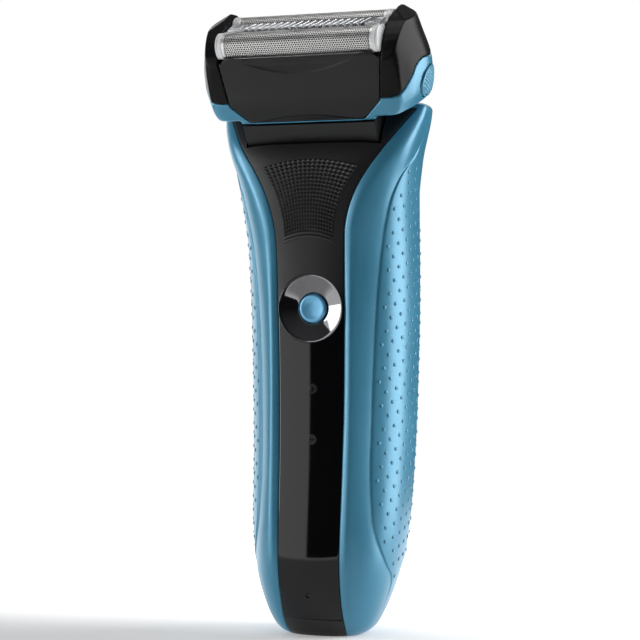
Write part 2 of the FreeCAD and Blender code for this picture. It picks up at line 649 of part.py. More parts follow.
# Charging socket in the base, its two pins, screws and the gasket.
sock = box("SocketBlock", "socketW", "socketD", 9.2, "-socketW/2", "-socketD/2", 0.3)
sock_in = box("SocketRoom", "socketW - 2*socketWall", "socketD - 2*socketWall", "socketDeep + 1", "-socketW/2 + socketWall", "-socketD/2 + socketWall", -1)
pin_bores = [cyl("SocketBore" + t, "socketPinR", 6, e, 0, 5) for t, e in (("A", "socketPinGap/2"), ("B", "-socketPinGap/2"))]
node("socket_housing", cut("SocketHousing", sock, [sock_in] + pin_bores))
node("socket_pins", group("SocketPins", [cyl("SocketPin" + t, "socketPinR", 5.9, e, 0, 4.4)
                                         for t, e in (("A", "socketPinGap/2"), ("B", "-socketPinGap/2"))]))
cs = []
for tag, sx in (("A", 8.0), ("B", -8.0)):
    cs.append(fuse("CapScrew" + tag, [cyl("CapShank" + tag, 1.02, 9.8, sx, 3.0, 2.2), cyl("CapHead" + tag, 1.95, 2.0, sx, 3.0, 0.35)]))
node("cap_screws", group("CapScrews", cs))
gasket = ring_loft([5.03, 6.3], wall + 0.12).cut(ring_loft([5.0, 6.4], wall + 1.5))
node("cap_gasket", feat("CapGasket", gasket))

# Front fittings: dish with its bright rim, button, windows and charge light.
def front_turn(b):
    b.Placement = FreeCAD.Placement(V(0, dim("dishY"), dim("dishZ")), ROT["-Y"])
    b.setExpression("Placement.Base.y", ex("dishY"))
    b.setExpression("Placement.Base.z", ex("dishZ"))
    return b


node("switch_dish", rev_body("SwitchDish", [("dishR - 0.05", -0.36), ("dishR - 0.05", -3.4), ("buttonBore", -3.4), ("buttonBore", -2.25), ("dishR - 0.8", -0.36)]))
front_turn(NODES[-1])
node("dish_rim", rev_body("DishRim", [("dishR - 0.78", -0.34), ("dishR - 0.02", -0.34), ("dishR - 0.02", 0.1), ("dishR - 0.3", 0.3), ("dishR - 0.62", 0.2)]))
front_turn(NODES[-1])
node("power_button", rev_body("PowerButton", [(0, -2.05), (2.3, -1.95), (3.1, -1.62), (3.6, -1.72), ("buttonR", -2.15), ("buttonR", -3.55), (4.8, -3.55),
                                              (4.8, -4.4), (1.2, -4.4), (1.2, -5.2), (0, -5.2)]))
front_turn(NODES[-1])
node("level_windows", group("LevelWindows", [cyl("WindowA", 1.5, 2.4, 0.8, -13.95, 69.0, "Y"), cyl("WindowB", 1.5, 2.4, 0.8, -14.35, 55.0, "Y")]))
node("charge_light_lens", cyl("ChargeLens", 0.9, 2.6, 0, -15.0, 12.0, "Y"))

# ------------------------------------------------ long-hair trimmer (rear)
tray = trimPlace(box("TrayPlate", "trimWide + 0.3", 2.1, 44, "-trimWide/2 - 0.15", -3.95, -15.0))
node("trimmer_tray", tray)  # floor that the slide runs on
sl = trimPlace(box("SlidePlate", "trimWide - 0.4", 9, 38.2, "-trimWide/2 + 0.2", -1.7, -14.6))
back_skin = feat("BackSkin", ring_loft([94.0, 97.0, 100.0, 104.0, 108.0, 111.0, 114.0, 117.0, 120.0, 122.5, 125.0, 127.5, 130.0, 132.0, 134.0, 137.0, 140.0, 143.0, 146.0], -0.35))
slide_skin = common("SlideSkin", sl, back_skin)
ridges = [trimPlace(cyl("SlideRidge%d" % k, 0.75, 13, -6.5, 1.55 - 0.05 * k, -7 + 2.3 * k, "X")) for k in range(5)]
slide = fuse("TrimmerSlide", [slide_skin] + ridges)
node("trimmer_slide", slide)


def comb_body(name, wide, deep, tall, count, slot, cut_len):
    """A flat plate with one toothed edge: a pocket repeated along the edge."""
    b = doc.addObject("PartDesign::Body", name)
    sk = sketch_poly(b, name + "Base", [(-wide / 2, 0), (wide / 2, 0), (wide / 2, tall), (-wide / 2, tall)], "XZ_Plane")
    pad(b, sk, deep, True)
    pitch = wide / (count + 0.4)
    x0 = -pitch * (count - 1) / 2
    s2 = sketch_poly(b, name + "Slot", [(x0 - slot / 2, tall - cut_len), (x0 + slot / 2, tall - cut_len), (x0 + slot / 2, tall + 1), (x0 - slot / 2, tall + 1)], "XZ_Plane")
    pk = b.newObject("PartDesign::Pocket", name + "Cut")
    pk.Profile = s2
    pk.Length = deep + 2
    if hasattr(pk, "SideType"):
        pk.SideType = "Symmetric"
    else:
        pk.Midplane = True
    doc.recompute()
    pat = b.newObject("PartDesign::LinearPattern", name + "Row")
    pat.Originals = [pk]
    pat.Direction = (s2, ["H_Axis"])
    pat.Length = pitch * (count - 1)
    pat.Occurrences = count
    b.Tip = pat
    doc.recompute()
    return b


comb = comb_body("TrimmerComb", 21.6, 0.7, 5.0, 14, 0.75, 2.6)
comb.Placement = TRIM.multiply(FreeCAD.Placement(V(0, -0.75, 23.65), FreeCAD.Rotation()))
node("trimmer_comb", comb)
blade = comb_body("TrimmerBlade", 19.6, 0.6, 4.6, 13, 0.8, 2.4)
blade.Placement = TRIM.multiply(FreeCAD.Placement(V(0, -1.42, 23.75), FreeCAD.Rotation()))
node("trimmer_blade", blade)

# ---------------------------------------------------------------- the head
def hstation(i):
    return [dim("hed%s_%02d" % (c, i)) for c in HCOL]


def head_wire(st, grow=0.0):
    """Section of the head: flat front, crease, slanted cheek, rounded rear."""
    z, w, yf, yb, xc = st
    w, xc, yf, yb = w + grow, xc + grow * 0.6, yf - grow, yb + grow
    half = [(0.0, yf - 0.15), (9.0, yf - 0.12), (17.0, yf - 0.02), (xc - 4.0, yf + 0.22), (xc - 1.3, yf + 0.5), (xc - 0.1, yf + 1.05),
            (xc + 0.65, yf + 2.1), (xc + (w - xc) * 0.48, yf + 5.2), (xc + (w - xc) * 0.78, yf + 9.0), (w, yf + 13.4),
            (w - 0.45, yf + 17.2), (w - 1.9, yb - 2.0), (w - 4.4, yb - 0.55), (w - 8.5, yb - 0.08), (12.0, yb), (0.0, yb)]
    pts = [V(x, y, z) for x, y in half] + [V(-x, y, z) for x, y in half[-2:0:-1]]
    c = Part.BSplineCurve()
    c.interpolate(Points=pts, PeriodicFlag=True)
    return Part.Wire([c.toShape()])


def head_loft(grow=0.0):
    return Part.makeLoft([head_wire(hstation(i), grow) for i in range(len(HEADST))], True, False)


outer = head_loft()
split = [(-24.0, 6.4), (-17.6, 6.6), (-15.0, 8.3), (-12.2, 10.9), (-10.4, 12.7), (-8.5, 13.6), (-6.5, 13.9), (-4.0, 13.4), (-2.0, 12.9), (12.0, 12.7)]
crown = [(9.0, 16.0), (5.2, 22.4), (4.1, 24.7), (2.9, 26.0), (1.4, 26.8), (-1.0, 26.8), (-3.2, 26.25), (-5.4, 25.5), (-7.6, 24.85), (-9.8, 23.95), (-11.8, 22.8),
         (-13.6, 21.5), (-15.2, 19.9), (-16.4, 18.0), (-17.4, 15.6), (-24.0, 8.0)]
LO, MI, TO = dim("cassLowHalf"), dim("cassMidHalf"), dim("cassTopHalf")
ZL, ZM, ZT = dim("cassLowZ"), dim("cassMidZ"), dim("cassTopZ")


def trapezoid(inset, z_low, z_high, y0, y1):
    """The cassette's front outline (narrow at the bottom) drawn along Y."""
    zt = 19.3
    pts = [(-LO + inset, ZL + inset), (LO - inset, ZL + inset), (MI - inset, ZM), (TO - inset, zt), (TO - inset, 36.0), (-TO + inset, 36.0), (-TO + inset, zt), (-MI + inset, ZM)]
    w = Part.makePolygon([V(p[0], y0, p[1]) for p in pts + pts[:1]])
    solid = Part.Face(w).extrude(V(0, y1 - y0, 0))
    return solid.common(Part.makeBox(120, 60, z_high - z_low, V(-60, -30, z_low)))


# Ears: they fill the head beside the cassette, and their crown falls outwards.
ear_tool = prism_x([(p[0], p[1] + 0.07) for p in split] + crown, dim("earIn"), 44.0)
slope = [V(18.0, -30, 23.0), V(24.0, -30, 25.5), V(25.4, -30, 26.45), V(28.0, -30, 25.25), V(31.0, -30, 24.0), V(34.0, -30, 22.6), V(36.0, -30, 40.0), V(18.0, -30, 40.0)]
over = Part.Face(Part.makePolygon(slope + slope[:1])).extrude(V(0, 60, 0))
ear = outer.common(ear_tool).cut([trapezoid(0.0, 0.0, 45.0, -30.0, 20.0), over])
node("right_ear", feat("RightEar", ear), True)
node("left_ear", feat("LeftEar", mirror_x(ear)), True)

cg = dim("cassGap")
pocket_front = trapezoid(0.0, 0.0, 36.0, -26.0, -15.6)
pocket_inner = trapezoid(0.0, 2.8, 36.0, -15.7, 3.0)
pocket_top = trapezoid(0.0, 13.13, 36.0, 2.9, 9.0)
below = prism_x([(p[0], p[1] - 0.07) for p in split] + [(12.0, -4.0), (-24.0, -4.0)], -44.0, 44.0)
side_low = Part.makeBox(30, 60, 3, V(dim("drumHalf") + 0.35, -30, -1.6))
base = outer.common(below).cut([pocket_front, pocket_inner, pocket_top, side_low, mirror_x(side_low),
                                Part.makeBox(2 * dim("drumHalf") + 0.4, 6.8, 5, V(-dim("drumHalf") - 0.2, -3.8, -1.9))])
for sx in (1, -1):
    lug_room = Part.makeBox(5.0, 9.4, 5.2, V(19.5 if sx > 0 else -24.5, -6.0, -1.5))
    spring_room = Part.makeBox(3.8, 5.0, 4.6, V(24.9 if sx > 0 else -28.7, -6.7, 4.0))
    ell = Part.Face(Part.Wire(Part.Ellipse(V(0, 0, 0), 5.3, 4.4).toShape()))
    ell.rotate(V(0, 0, 0), V(0, 0, 1), 90)
    ell.rotate(V(0, 0, 0), V(0, 1, 0), 90)
    ell.translate(V(28.4 * sx, -4.2, 6.4))
    window = ell.extrude(V(9.0 * sx, 0, 0))
    base = base.cut([lug_room, spring_room, window])
node("head_base", feat("HeadBase", base), True)

big = head_loft(0.35)


def button_solid(sx):
    ell = Part.Face(Part.Wire(Part.Ellipse(V(0, 0, 0), 5.15, 4.25).toShape()))
    ell.rotate(V(0, 0, 0), V(0, 0, 1), 90)
    ell.rotate(V(0, 0, 0), V(0, 1, 0), 90)
    ell.translate(V(29.8, -4.2, 6.4))
    body = ell.extrude(V(8.0, 0, 0)).common(big)
    return body if sx > 0 else mirror_x(body)


node("right_release_button", feat("RightRelease", button_solid(1)), True)
node("left_release_button", feat("LeftRelease", button_solid(-1)), True)


springs = []
for tag, x in (("R", 25.1), ("L", -29.7)):
    s_out = cyl("SpringOut" + tag, 1.5, 4.6, x, -4.2, 6.3, "X")
    s_in = cyl("SpringIn" + tag, 1.1, 6, x - 0.5, -4.2, 6.3, "X")
    springs.append(cut("Spring" + tag, s_out, [s_in]))
node("release_springs", group("ReleaseSprings", springs), True)

# Drum: a wide sector in front, a smaller one behind, a boss for the pins.
RD, RQ, HD = dim("drumR"), dim("drumRearR"), dim("drumHalf")


def pl(r, deg):
    return polar(r, deg, 0.0)


drum_segs = [
    [pl(RD, 180.6), pl(RD, 202.0), pl(RD, 224.0)],
    [pl(RD, 224.0), pl(RQ, 224.0)],
    [pl(RQ, 224.0), pl(RQ, 270.0), pl(RQ, 323.0)],
    [pl(RQ, 323.0), (3.0, 0.15)],
    [(3.0, 0.15), (2.8, 2.7)],
    [(2.8, 2.7), (-3.6, 2.7)],
    [(-3.6, 2.7), (-3.7, -0.18)],
    [(-3.7, -0.18), pl(RD, 180.6)],
]
drum_solid = feat("DrumSolid", arc_face_x(drum_segs, -HD, HD))
drum_fork = box("DrumForkRoom", 8.6, 5.2, 7, -4.3, -2.6, -2.6)
drum_stem = fuse("DrumStemRoom", [box("DrumStemA", 5.4, 11.4, 18, -2.7, -9.6, -18), box("DrumStemB", 5.4, 4.5, 9.5, -2.7, -12.9, -18)])
drum_pins = cyl("DrumPinBore", "pinR", 60, -30, 0, 0, "X")
drum_core = box("DrumCore", 22, 60, 60, -11, -30, -30)
drum_bore = common("DrumBoreEnds", drum_pins, cut("DrumEnds", box("DrumAll", 60, 10, 10, -30, -5, -5), [drum_core]))
node("head_drum", cut("HeadDrum", drum_solid, [drum_fork, drum_stem, drum_bore]), True)
node("pivot_pins", group("PivotPins", [cyl("PivotPinR", "pinR", 12.9, 11.1, 0, 0, "X"), cyl("PivotPinL", "pinR", 12.9, -24.0, 0, 0, "X")]), True)

# Drive bridge inside the head: a fork round the ball and three pins.
br = [box("BridgeBar", 30, 16.2, 1.5, -15, -14.6, 3.7),
      box("BridgeForkA", 1.45, 4.0, 5.8, 1.45, -2.0, -2.0), box("BridgeForkB", 1.45, 4.0, 5.8, -2.9, -2.0, -2.0)]
br += [cyl("BridgePinA", 0.9, 11, 0, "foilFrontY", 5.0), cyl("BridgePinB", 0.9, 11, 0, "foilRearY", 5.0), cyl("BridgePinC", 0.9, 13, 0, "combY", 5.0)]
node("drive_bridge", fuse("DriveBridge", br), True)

# ------------------------------------------------------------ the cassette
shell_c = head_loft(-0.06)
cass = shell_c.common(trapezoid(cg, 0.0, ZT, -26.0, 12.0))
cass = cass.cut([Part.makeBox(80, 20, 12.6 + 0.65, V(-40, 2.88, -0.05)),
                 Part.makeBox(36.4, 18.3, 20, V(-18.2, -15.6, 0)),
                 Part.makeBox(120, 18.7, 3.25, V(-60, -15.6, 0)),
                 Part.makeBox(44.3, 18.3, 20, V(-22.15, -15.6, 10.5)),
                 Part.makeBox(40.6, 18.3, 20, V(-20.3, -15.6, 6.0))])
# A thin rim stands up in front of the front foil.
rim = shell_c.common(Part.makeBox(43.4, 2.0, dim("rimTop") - 17.0, V(-21.7, -18.52, 17.0)))
cass = cass.fuse(rim).removeSplitter()
node("cassette_frame", feat("CassetteFrame", cass), True)

for side_name, fy in (("front", "foilFrontY"), ("rear", "foilRearY")):
    n = side_name.capitalize()
    tube = cut(n + "FoilTube", cyl(n + "FoilOut", "foilR", "2*foilHalf", "-foilHalf", fy, "foilZ", "X"),
               [cyl(n + "FoilIn", "foilR - foilT", 60, -30, fy, "foilZ", "X"), box(n + "FoilTrim", 60, 12, 9, -30, fy + " - 6", "foilZ - 12.03")])
    legs = [box(n + "FoilLeg" + t, "2*foilHalf", "foilT", 2.9, "-foilHalf", fy + " + " + off, "foilZ - 5.9") for t, off in (("A", "1.93"), ("B", "-2.13"))]
    for leg, off in zip(legs, (1.93, -2.13)):
        leg.setExpression("Placement.Base.y", ex(fy) + " + (%g)" % off)
    node(side_name + "_foil", fuse(n + "Foil", [tube] + legs), True)
    caps = []
    for t, x in (("R", "foilHalf + 0.02"), ("L", "-foilHalf - 0.02 - foilCap")):
        caps.append(cut(n + "Cap" + t, cyl(n + "CapRound" + t, "foilR + 0.08", "foilCap", x, fy, "foilZ", "X"),
                        [box(n + "CapTrim" + t, 10, 12, 9, "0" if t == "R" else "-40", fy + " - 6", "foilZ - 11.6")]))
        caps[-1].Tool.setExpression("Placement.Base.x", ex(x) + " - 1")
    node(side_name + "_foil_ends", group(n + "FoilEnds", caps), True)
    # Cutter block: a round top under the foil on a narrow stem.
    head_c = cyl(n + "CutTop", "cutterR", "2*cutterHalf", "-cutterHalf", fy, "foilZ", "X")
    low = box(n + "CutTrim", 60, 12, 9, -30, fy + " - 6", "foilZ - 10.6")
    stem = box(n + "CutStem", 34, 3.2, 8.4, -17, fy + " - 1.6", "foilZ - 9.0")
    bore = cyl(n + "CutBore", 1.0, 6.0, 0, fy, "foilZ - 9.2")
    blk = cut(n + "Cutter", fuse(n + "CutFuse", [cut(n + "CutHead", head_c, [low]), stem]), [bore])
    node(side_name + "_cutter", blk, True)

# Centre trimmer between the foils: fixed guard with two toothed edges, and
# the toothed blade that slides under it.
def two_edge(name, wide, deep, thick, count, slot, depth, ends):
    b = doc.addObject("PartDesign::Body", name)
    sk = sketch_poly(b, name + "Base", [(-wide / 2, -deep / 2), (wide / 2, -deep / 2), (wide / 2, deep / 2), (-wide / 2, deep / 2)], "XY_Plane")
    pad(b, sk, thick)
    pitch = (wide - 2 * ends) / count
    x0 = -pitch * (count - 1) / 2
    cuts = []
    for tag, sy in (("F", -1), ("R", 1)):
        y_in, y_out = sy * (deep / 2 - depth), sy * (deep / 2 + 1)
        sk2 = sketch_poly(b, name + "Slot" + tag, [(x0 - slot / 2, y_in), (x0 + slot / 2, y_in), (x0 + slot / 2, y_out), (x0 - slot / 2, y_out)], "XY_Plane")
        pk = b.newObject("PartDesign::Pocket", name + "Cut" + tag)
        pk.Profile = sk2
        pk.Length = thick * 2 + 2
        if hasattr(pk, "SideType"):
            pk.SideType = "Symmetric"
        else:
            pk.Midplane = True
        doc.recompute()
        cuts.append(pk)
    pat = b.newObject("PartDesign::LinearPattern", name + "Row")
    pat.Originals = cuts
    pat.Direction = (sk2, ["H_Axis"])
    pat.Length = pitch * (count - 1)
    pat.Occurrences = count
    b.Tip = pat
    doc.recompute()
    return b


guard = two_edge("GuardTeeth", 44.0, dim("combWide"), dim("combT"), 18, 0.85, 1.5, 4.0)
guard.Placement = FreeCAD.Placement(V(0, dim("combY"), dim("combZ")), FreeCAD.Rotation())
guard.setExpression("Placement.Base.y", ex("combY"))
guard.setExpression("Placement.Base.z", ex("combZ"))
legs = []
for t, x in (("R", 22.0), ("L", -23.7)):
    legs.append(box("GuardLeg" + t, 1.7, "combWide", "combZ + combT - cassTopZ - 0.02", x, "combY - combWide/2", "cassTopZ + 0.02"))
node("centre_guard", fuse("CentreGuard", [guard] + legs), True)
mid = two_edge("MidBladePlate", 38.0, dim("combWide") - 0.4, 0.8, 16, 0.9, 1.3, 1.0)
mid.Placement = FreeCAD.Placement(V(0, dim("combY"), dim("combZ") - 0.88), FreeCAD.Rotation())
mid_stem = box("MidBladeStem", 12, 2.6, 7.6, -6, "combY - 1.3", "combZ - 8.4")
mid_bore = cyl("MidBladeBore", 1.0, 4.4, 0, "combY", "combZ - 8.6")
node("centre_blade", cut("CentreBlade", fuse("MidBladeFuse", [mid, mid_stem]), [mid_bore]), True)

# ------------------------------------------------------------ checks, export
doc.recompute()
bad = []
for o in doc.Objects:
    if "Invalid" in o.State or "Error" in o.State:
        bad.append("%s (%s): %s" % (o.Label, o.Name, o.State))
for o in NODES:
    if o.Shape.isNull() or not o.Shape.isValid() or not o.Shape.Solids:
        bad.append("%s: shape null, invalid or empty" % o.Label)
if len(set(o.Label for o in NODES)) != len(NODES):
    bad.append("two nodes share a label")
if bad:
    for line in bad:
        print("BAD", line)
    sys.exit(1)
os.makedirs("parts", exist_ok=True)
for o in NODES:
    o.Shape.exportStep("parts/%s.step" % o.Label)
    print("%-24s solids %d  volume %9.1f" % (o.Label, len(o.Shape.Solids), o.Shape.Volume))
print("nodes", len(NODES))
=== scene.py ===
import math
import bpy
import bmesh
import numpy as np
from mathutils import Vector, Matrix


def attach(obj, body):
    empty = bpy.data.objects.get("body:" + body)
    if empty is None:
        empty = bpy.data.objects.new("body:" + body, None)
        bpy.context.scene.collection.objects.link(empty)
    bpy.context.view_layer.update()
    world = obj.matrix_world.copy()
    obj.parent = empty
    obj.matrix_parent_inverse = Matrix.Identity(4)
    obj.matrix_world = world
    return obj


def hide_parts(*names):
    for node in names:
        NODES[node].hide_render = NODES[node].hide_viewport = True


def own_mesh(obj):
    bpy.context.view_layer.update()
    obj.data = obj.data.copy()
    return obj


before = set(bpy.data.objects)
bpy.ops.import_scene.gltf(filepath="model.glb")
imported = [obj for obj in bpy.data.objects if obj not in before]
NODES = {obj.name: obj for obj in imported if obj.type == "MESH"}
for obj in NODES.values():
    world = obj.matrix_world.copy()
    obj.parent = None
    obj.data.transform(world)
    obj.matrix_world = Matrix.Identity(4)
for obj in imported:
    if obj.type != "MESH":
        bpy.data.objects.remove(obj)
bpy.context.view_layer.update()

# Electric foil shaver.  Shapes are worked out in millimetres and stored in metres.
MM = 0.001
scene = bpy.context.scene

# ------------------------------------------------------------- camera, light
cam_data = bpy.data.cameras.new("camera")
cam = bpy.data.objects.new("camera", cam_data)
scene.collection.objects.link(cam)
cam.location = (0.2039, -0.5372, 0.088)
cam.rotation_mode = "QUATERNION"
cam.rotation_quaternion = (Vector((0.0, -0.006, 0.088)) - Vector(cam.location)).to_track_quat("-Z", "Y")
cam_data.sensor_width = 36.0
cam_data.lens = 2031.0 / 640.0 * 36.0
cam_data.clip_start = 0.05
cam_data.clip_end = 60.0
scene.camera = cam
scene.view_settings.view_transform = "Standard"
scene.view_settings.look = "None"
scene.view_settings.exposure = 0.0
scene.view_settings.gamma = 1.0


def area(name, az, elev, dist, wide, tall, radiance, color=(1, 1, 1), aim=(0.0, 0.0, 0.09), spin=0.0):
    """Soft box: azimuth 0 is in front of the shaver, positive towards its right."""
    a, e = math.radians(az), math.radians(elev)
    d = Vector((math.sin(a) * math.cos(e), -math.cos(a) * math.cos(e), math.sin(e)))
    data = bpy.data.lights.new(name, "AREA")
    data.shape = "RECTANGLE"
    data.size, data.size_y = wide, tall
    data.energy = radiance * math.pi * wide * tall
    data.color = color
    o = bpy.data.objects.new(name, data)
    o.location = Vector(aim) + d * dist
    o.rotation_mode = "QUATERNION"
    q = (-d).to_track_quat("-Z", "Y")
    o.rotation_quaternion = q
    scene.collection.objects.link(o)
    return o


LIGHTS = [
    ("soft_left_front", -49.0, 3.0, 0.80, 0.86, 0.66, 1.65, (1.0, 1.0, 1.0)),
    ("soft_left_key", -64.0, 11.0, 0.76, 0.20, 0.40, 6.0, (1.0, 1.0, 1.0)),
    ("soft_left_rear", -124.0, 16.0, 0.80, 0.55, 0.80, 1.6, (1.0, 1.0, 1.0)),
    ("soft_right", 113.0, 16.0, 0.75, 0.50, 0.90, 5.2, (1.0, 1.0, 1.0)),
    ("soft_top", 0.0, 80.0, 0.75, 0.50, 0.40, 2.2, (1.0, 1.0, 1.0)),
    ("soft_back", 180.0, 35.0, 0.90, 0.50, 0.40, 1.2, (1.0, 1.0, 1.0)),
]
for row in LIGHTS:
    area(*row)

world = bpy.data.worlds.new("studio")
scene.world = world
world.use_nodes = True
wn, wl = world.node_tree.nodes, world.node_tree.links
wn.clear()
w_out = wn.new("ShaderNodeOutputWorld")
w_mix = wn.new("ShaderNodeMixShader")
w_path = wn.new("ShaderNodeLightPath")
w_fill = wn.new("ShaderNodeBackground")
w_back = wn.new("ShaderNodeBackground")
w_geo = wn.new("ShaderNodeTexCoord")
w_sep = wn.new("ShaderNodeSeparateXYZ")
w_ramp = wn.new("ShaderNodeValToRGB")
wl.new(w_geo.outputs["Generated"], w_sep.inputs[0])
wl.new(w_sep.outputs["Z"], w_ramp.inputs["Fac"])
w_ramp.color_ramp.elements[0].position = 0.0
w_ramp.color_ramp.elements[0].color = (0.018, 0.0185, 0.0195, 1)
w_ramp.color_ramp.elements[1].position = 0.75
w_ramp.color_ramp.elements[1].color = (0.13, 0.13, 0.135, 1)
wl.new(w_ramp.outputs["Color"], w_fill.inputs["Color"])
w_fill.inputs["Strength"].default_value = 1.0
w_back.inputs["Color"].default_value = (1, 1, 1, 1)
w_back.inputs["Strength"].default_value = 1.0
wl.new(w_path.outputs["Is Camera Ray"], w_mix.inputs["Fac"])
wl.new(w_fill.outputs[0], w_mix.inputs[1])
wl.new(w_back.outputs[0], w_mix.inputs[2])
wl.new(w_mix.outputs[0], w_out.inputs["Surface"])


# ----------------------------------------------------------------- materials
def _tree(name):
    m = bpy.data.materials.new(name)
    m.use_nodes = True
    nt = m.node_tree
    return m, nt, nt.nodes["Principled BSDF"]


def coords(nt):
    c = nt.nodes.new("ShaderNodeTexCoord")
    return c.outputs["Object"]


def noise(nt, vec, scale, detail=3.0, rough=0.55):
    n = nt.nodes.new("ShaderNodeTexNoise")
    n.inputs["Scale"].default_value = scale
    n.inputs["Detail"].default_value = detail
    n.inputs["Roughness"].default_value = rough
    nt.links.new(vec, n.inputs["Vector"])
    return n.outputs["Fac"]


def remap(nt, value, lo, hi, a=0.3, b=0.7):
    r = nt.nodes.new("ShaderNodeMapRange")
    r.inputs["From Min"].default_value = a
    r.inputs["From Max"].default_value = b
    r.inputs["To Min"].default_value = lo
    r.inputs["To Max"].default_value = hi
    nt.links.new(value, r.inputs["Value"])
    return r.outputs["Result"]


def bump(nt, height, strength, dist, normal=None):
    b = nt.nodes.new("ShaderNodeBump")
    b.inputs["Strength"].default_value = strength
    b.inputs["Distance"].default_value = dist
    nt.links.new(height, b.inputs["Height"])
    if normal is not None:
        nt.links.new(normal, b.inputs["Normal"])
    return b.outputs["Normal"]


def mixcol(nt, fac, a, b):
    m = nt.nodes.new("ShaderNodeMix")
    m.data_type = "RGBA"
    nt.links.new(fac, m.inputs["Factor"])
    for sock, v in ((m.inputs[6], a), (m.inputs[7], b)):
        if isinstance(v, tuple):
            sock.default_value = (*v, 1.0)
        else:
            nt.links.new(v, sock)
    return m.outputs[2]


def plastic(name, col, dark, rough, spread=0.05, grain=2600.0, bump_mm=0.01, bump_s=0.25, coat=0.0, ior=1.48, smudge=60.0):
    """Moulded plastic: fine spark-eroded grain, faint cloudiness and handling marks."""
    m, nt, p = _tree(name)
    v = coords(nt)
    cloud = noise(nt, v, smudge, 4.0)
    fine = noise(nt, v, grain, 2.0)
    nt.links.new(mixcol(nt, remap(nt, cloud, 0.0, 1.0), dark, col), p.inputs["Base Color"])
    nt.links.new(remap(nt, cloud, rough - spread, rough + spread), p.inputs["Roughness"])
    nt.links.new(bump(nt, fine, bump_s, bump_mm * MM), p.inputs["Normal"])
    p.inputs["IOR"].default_value = ior
    p.inputs["Coat Weight"].default_value = coat
    p.inputs["Coat Roughness"].default_value = 0.08
    return m


def metal(name, col, dark, rough, stretch=(1, 1, 1), scale=900.0, bump_s=0.2, bump_mm=0.01):
    """Ground or drawn metal: stretched scratches in colour, roughness and bump."""
    m, nt, p = _tree(name)
    v = coords(nt)
    mp = nt.nodes.new("ShaderNodeMapping")
    mp.inputs["Scale"].default_value = stretch
    nt.links.new(v, mp.inputs["Vector"])
    n1 = noise(nt, mp.outputs[0], scale, 4.0)
    n2 = noise(nt, v, 80.0, 3.0)
    nt.links.new(mixcol(nt, remap(nt, n1, 0.0, 1.0), dark, col), p.inputs["Base Color"])
    nt.links.new(remap(nt, n2, rough * 0.75, rough * 1.3), p.inputs["Roughness"])
    nt.links.new(bump(nt, n1, bump_s, bump_mm * MM), p.inputs["Normal"])
    p.inputs["Metallic"].default_value = 1.0
    return m


def soft_touch(name, col, dark, rough=0.33, metallic=0.28, coat=0.28):
    """Pearly soft-touch paint: even colour, satin sheen, very fine grain, roughness varying in soft random patches."""
    m, nt, p = _tree(name)
    v = coords(nt)
    cloud = noise(nt, v, 45.0, 4.0)
    fine = noise(nt, v, 3800.0, 2.0)
    nt.links.new(mixcol(nt, remap(nt, cloud, 0.0, 1.0), dark, col), p.inputs["Base Color"])
    nt.links.new(remap(nt, cloud, rough - 0.03, rough + 0.04), p.inputs["Roughness"])
    nt.links.new(bump(nt, fine, 0.18, 0.012 * MM), p.inputs["Normal"])
    p.inputs["Metallic"].default_value = metallic
    p.inputs["IOR"].default_value = 1.5
    p.inputs["Specular IOR Level"].default_value = 0.55
    p.inputs["Coat Weight"].default_value = coat
    p.inputs["Coat Roughness"].default_value = 0.27
    return m


def front_black():
    """Polished at the lower strip, satin from the dish upwards."""
    m, nt, p = _tree("front_black")
    v = coords(nt)
    sep = nt.nodes.new("ShaderNodeSeparateXYZ")
    nt.links.new(v, sep.inputs[0])
    cloud = noise(nt, v, 70.0, 4.0)
    fine = noise(nt, v, 3000.0, 2.0)
    zone = nt.nodes.new("ShaderNodeMapRange")
    zone.interpolation_type = "SMOOTHSTEP"
    zone.inputs["From Min"].default_value = 0.0835
    zone.inputs["From Max"].default_value = 0.1005
    nt.links.new(sep.outputs["Z"], zone.inputs["Value"])
    r0 = remap(nt, cloud, 0.035, 0.065)
    r1 = remap(nt, cloud, 0.42, 0.50)
    mx = nt.nodes.new("ShaderNodeMix")
    mx.data_type = "FLOAT"
    nt.links.new(zone.outputs[0], mx.inputs["Factor"])
    nt.links.new(r0, mx.inputs[2])
    nt.links.new(r1, mx.inputs[3])
    nt.links.new(mx.outputs[0], p.inputs["Roughness"])
    g = nt.nodes.new("ShaderNodeMath")
    g.operation = "MULTIPLY"
    nt.links.new(fine, g.inputs[0])
    nt.links.new(zone.outputs[0], g.inputs[1])
    nt.links.new(bump(nt, g.outputs[0], 0.3, 0.012 * MM), p.inputs["Normal"])
    nt.links.new(mixcol(nt, zone.outputs[0], (0.0025, 0.0026, 0.0032), (0.0060, 0.0063, 0.0072)), p.inputs["Base Color"])
    p.inputs["IOR"].default_value = 1.42
    return m


M = {}
M["blue"] = soft_touch("blue_soft_touch", (0.052, 0.252, 0.392), (0.046, 0.236, 0.368))
M["blue_head"] = soft_touch("blue_head_satin", (0.052, 0.252, 0.392), (0.046, 0.236, 0.368), 0.34)
# the pips are a shade darker than the panel blue: painted shade for the shading round the raised dots
M["pip"] = soft_touch("blue_pips", (0.048, 0.240, 0.374), (0.043, 0.224, 0.350), 0.33)
M["front"] = front_black()
M["satin"] = plastic("satin_black", (0.0070, 0.0073, 0.0082), (0.0050, 0.0053, 0.0060), 0.34, 0.04, ior=1.43)
M["pad"] = plastic("thumb_rest_black", (0.0085, 0.0088, 0.0098), (0.0060, 0.0063, 0.0070), 0.30, 0.04, bump_s=0.12, ior=1.52)
M["matte"] = plastic("matte_black", (0.0085, 0.0088, 0.0100), (0.0060, 0.0063, 0.0072), 0.55, 0.06)
M["rear"] = plastic("rear_black", (0.016, 0.0165, 0.018), (0.011, 0.0115, 0.0125), 0.42, 0.05)
M["ear"] = plastic("ear_black", (0.0050, 0.0052, 0.0060), (0.0038, 0.0040, 0.0046), 0.27, 0.03, bump_s=0.12, ior=1.22)
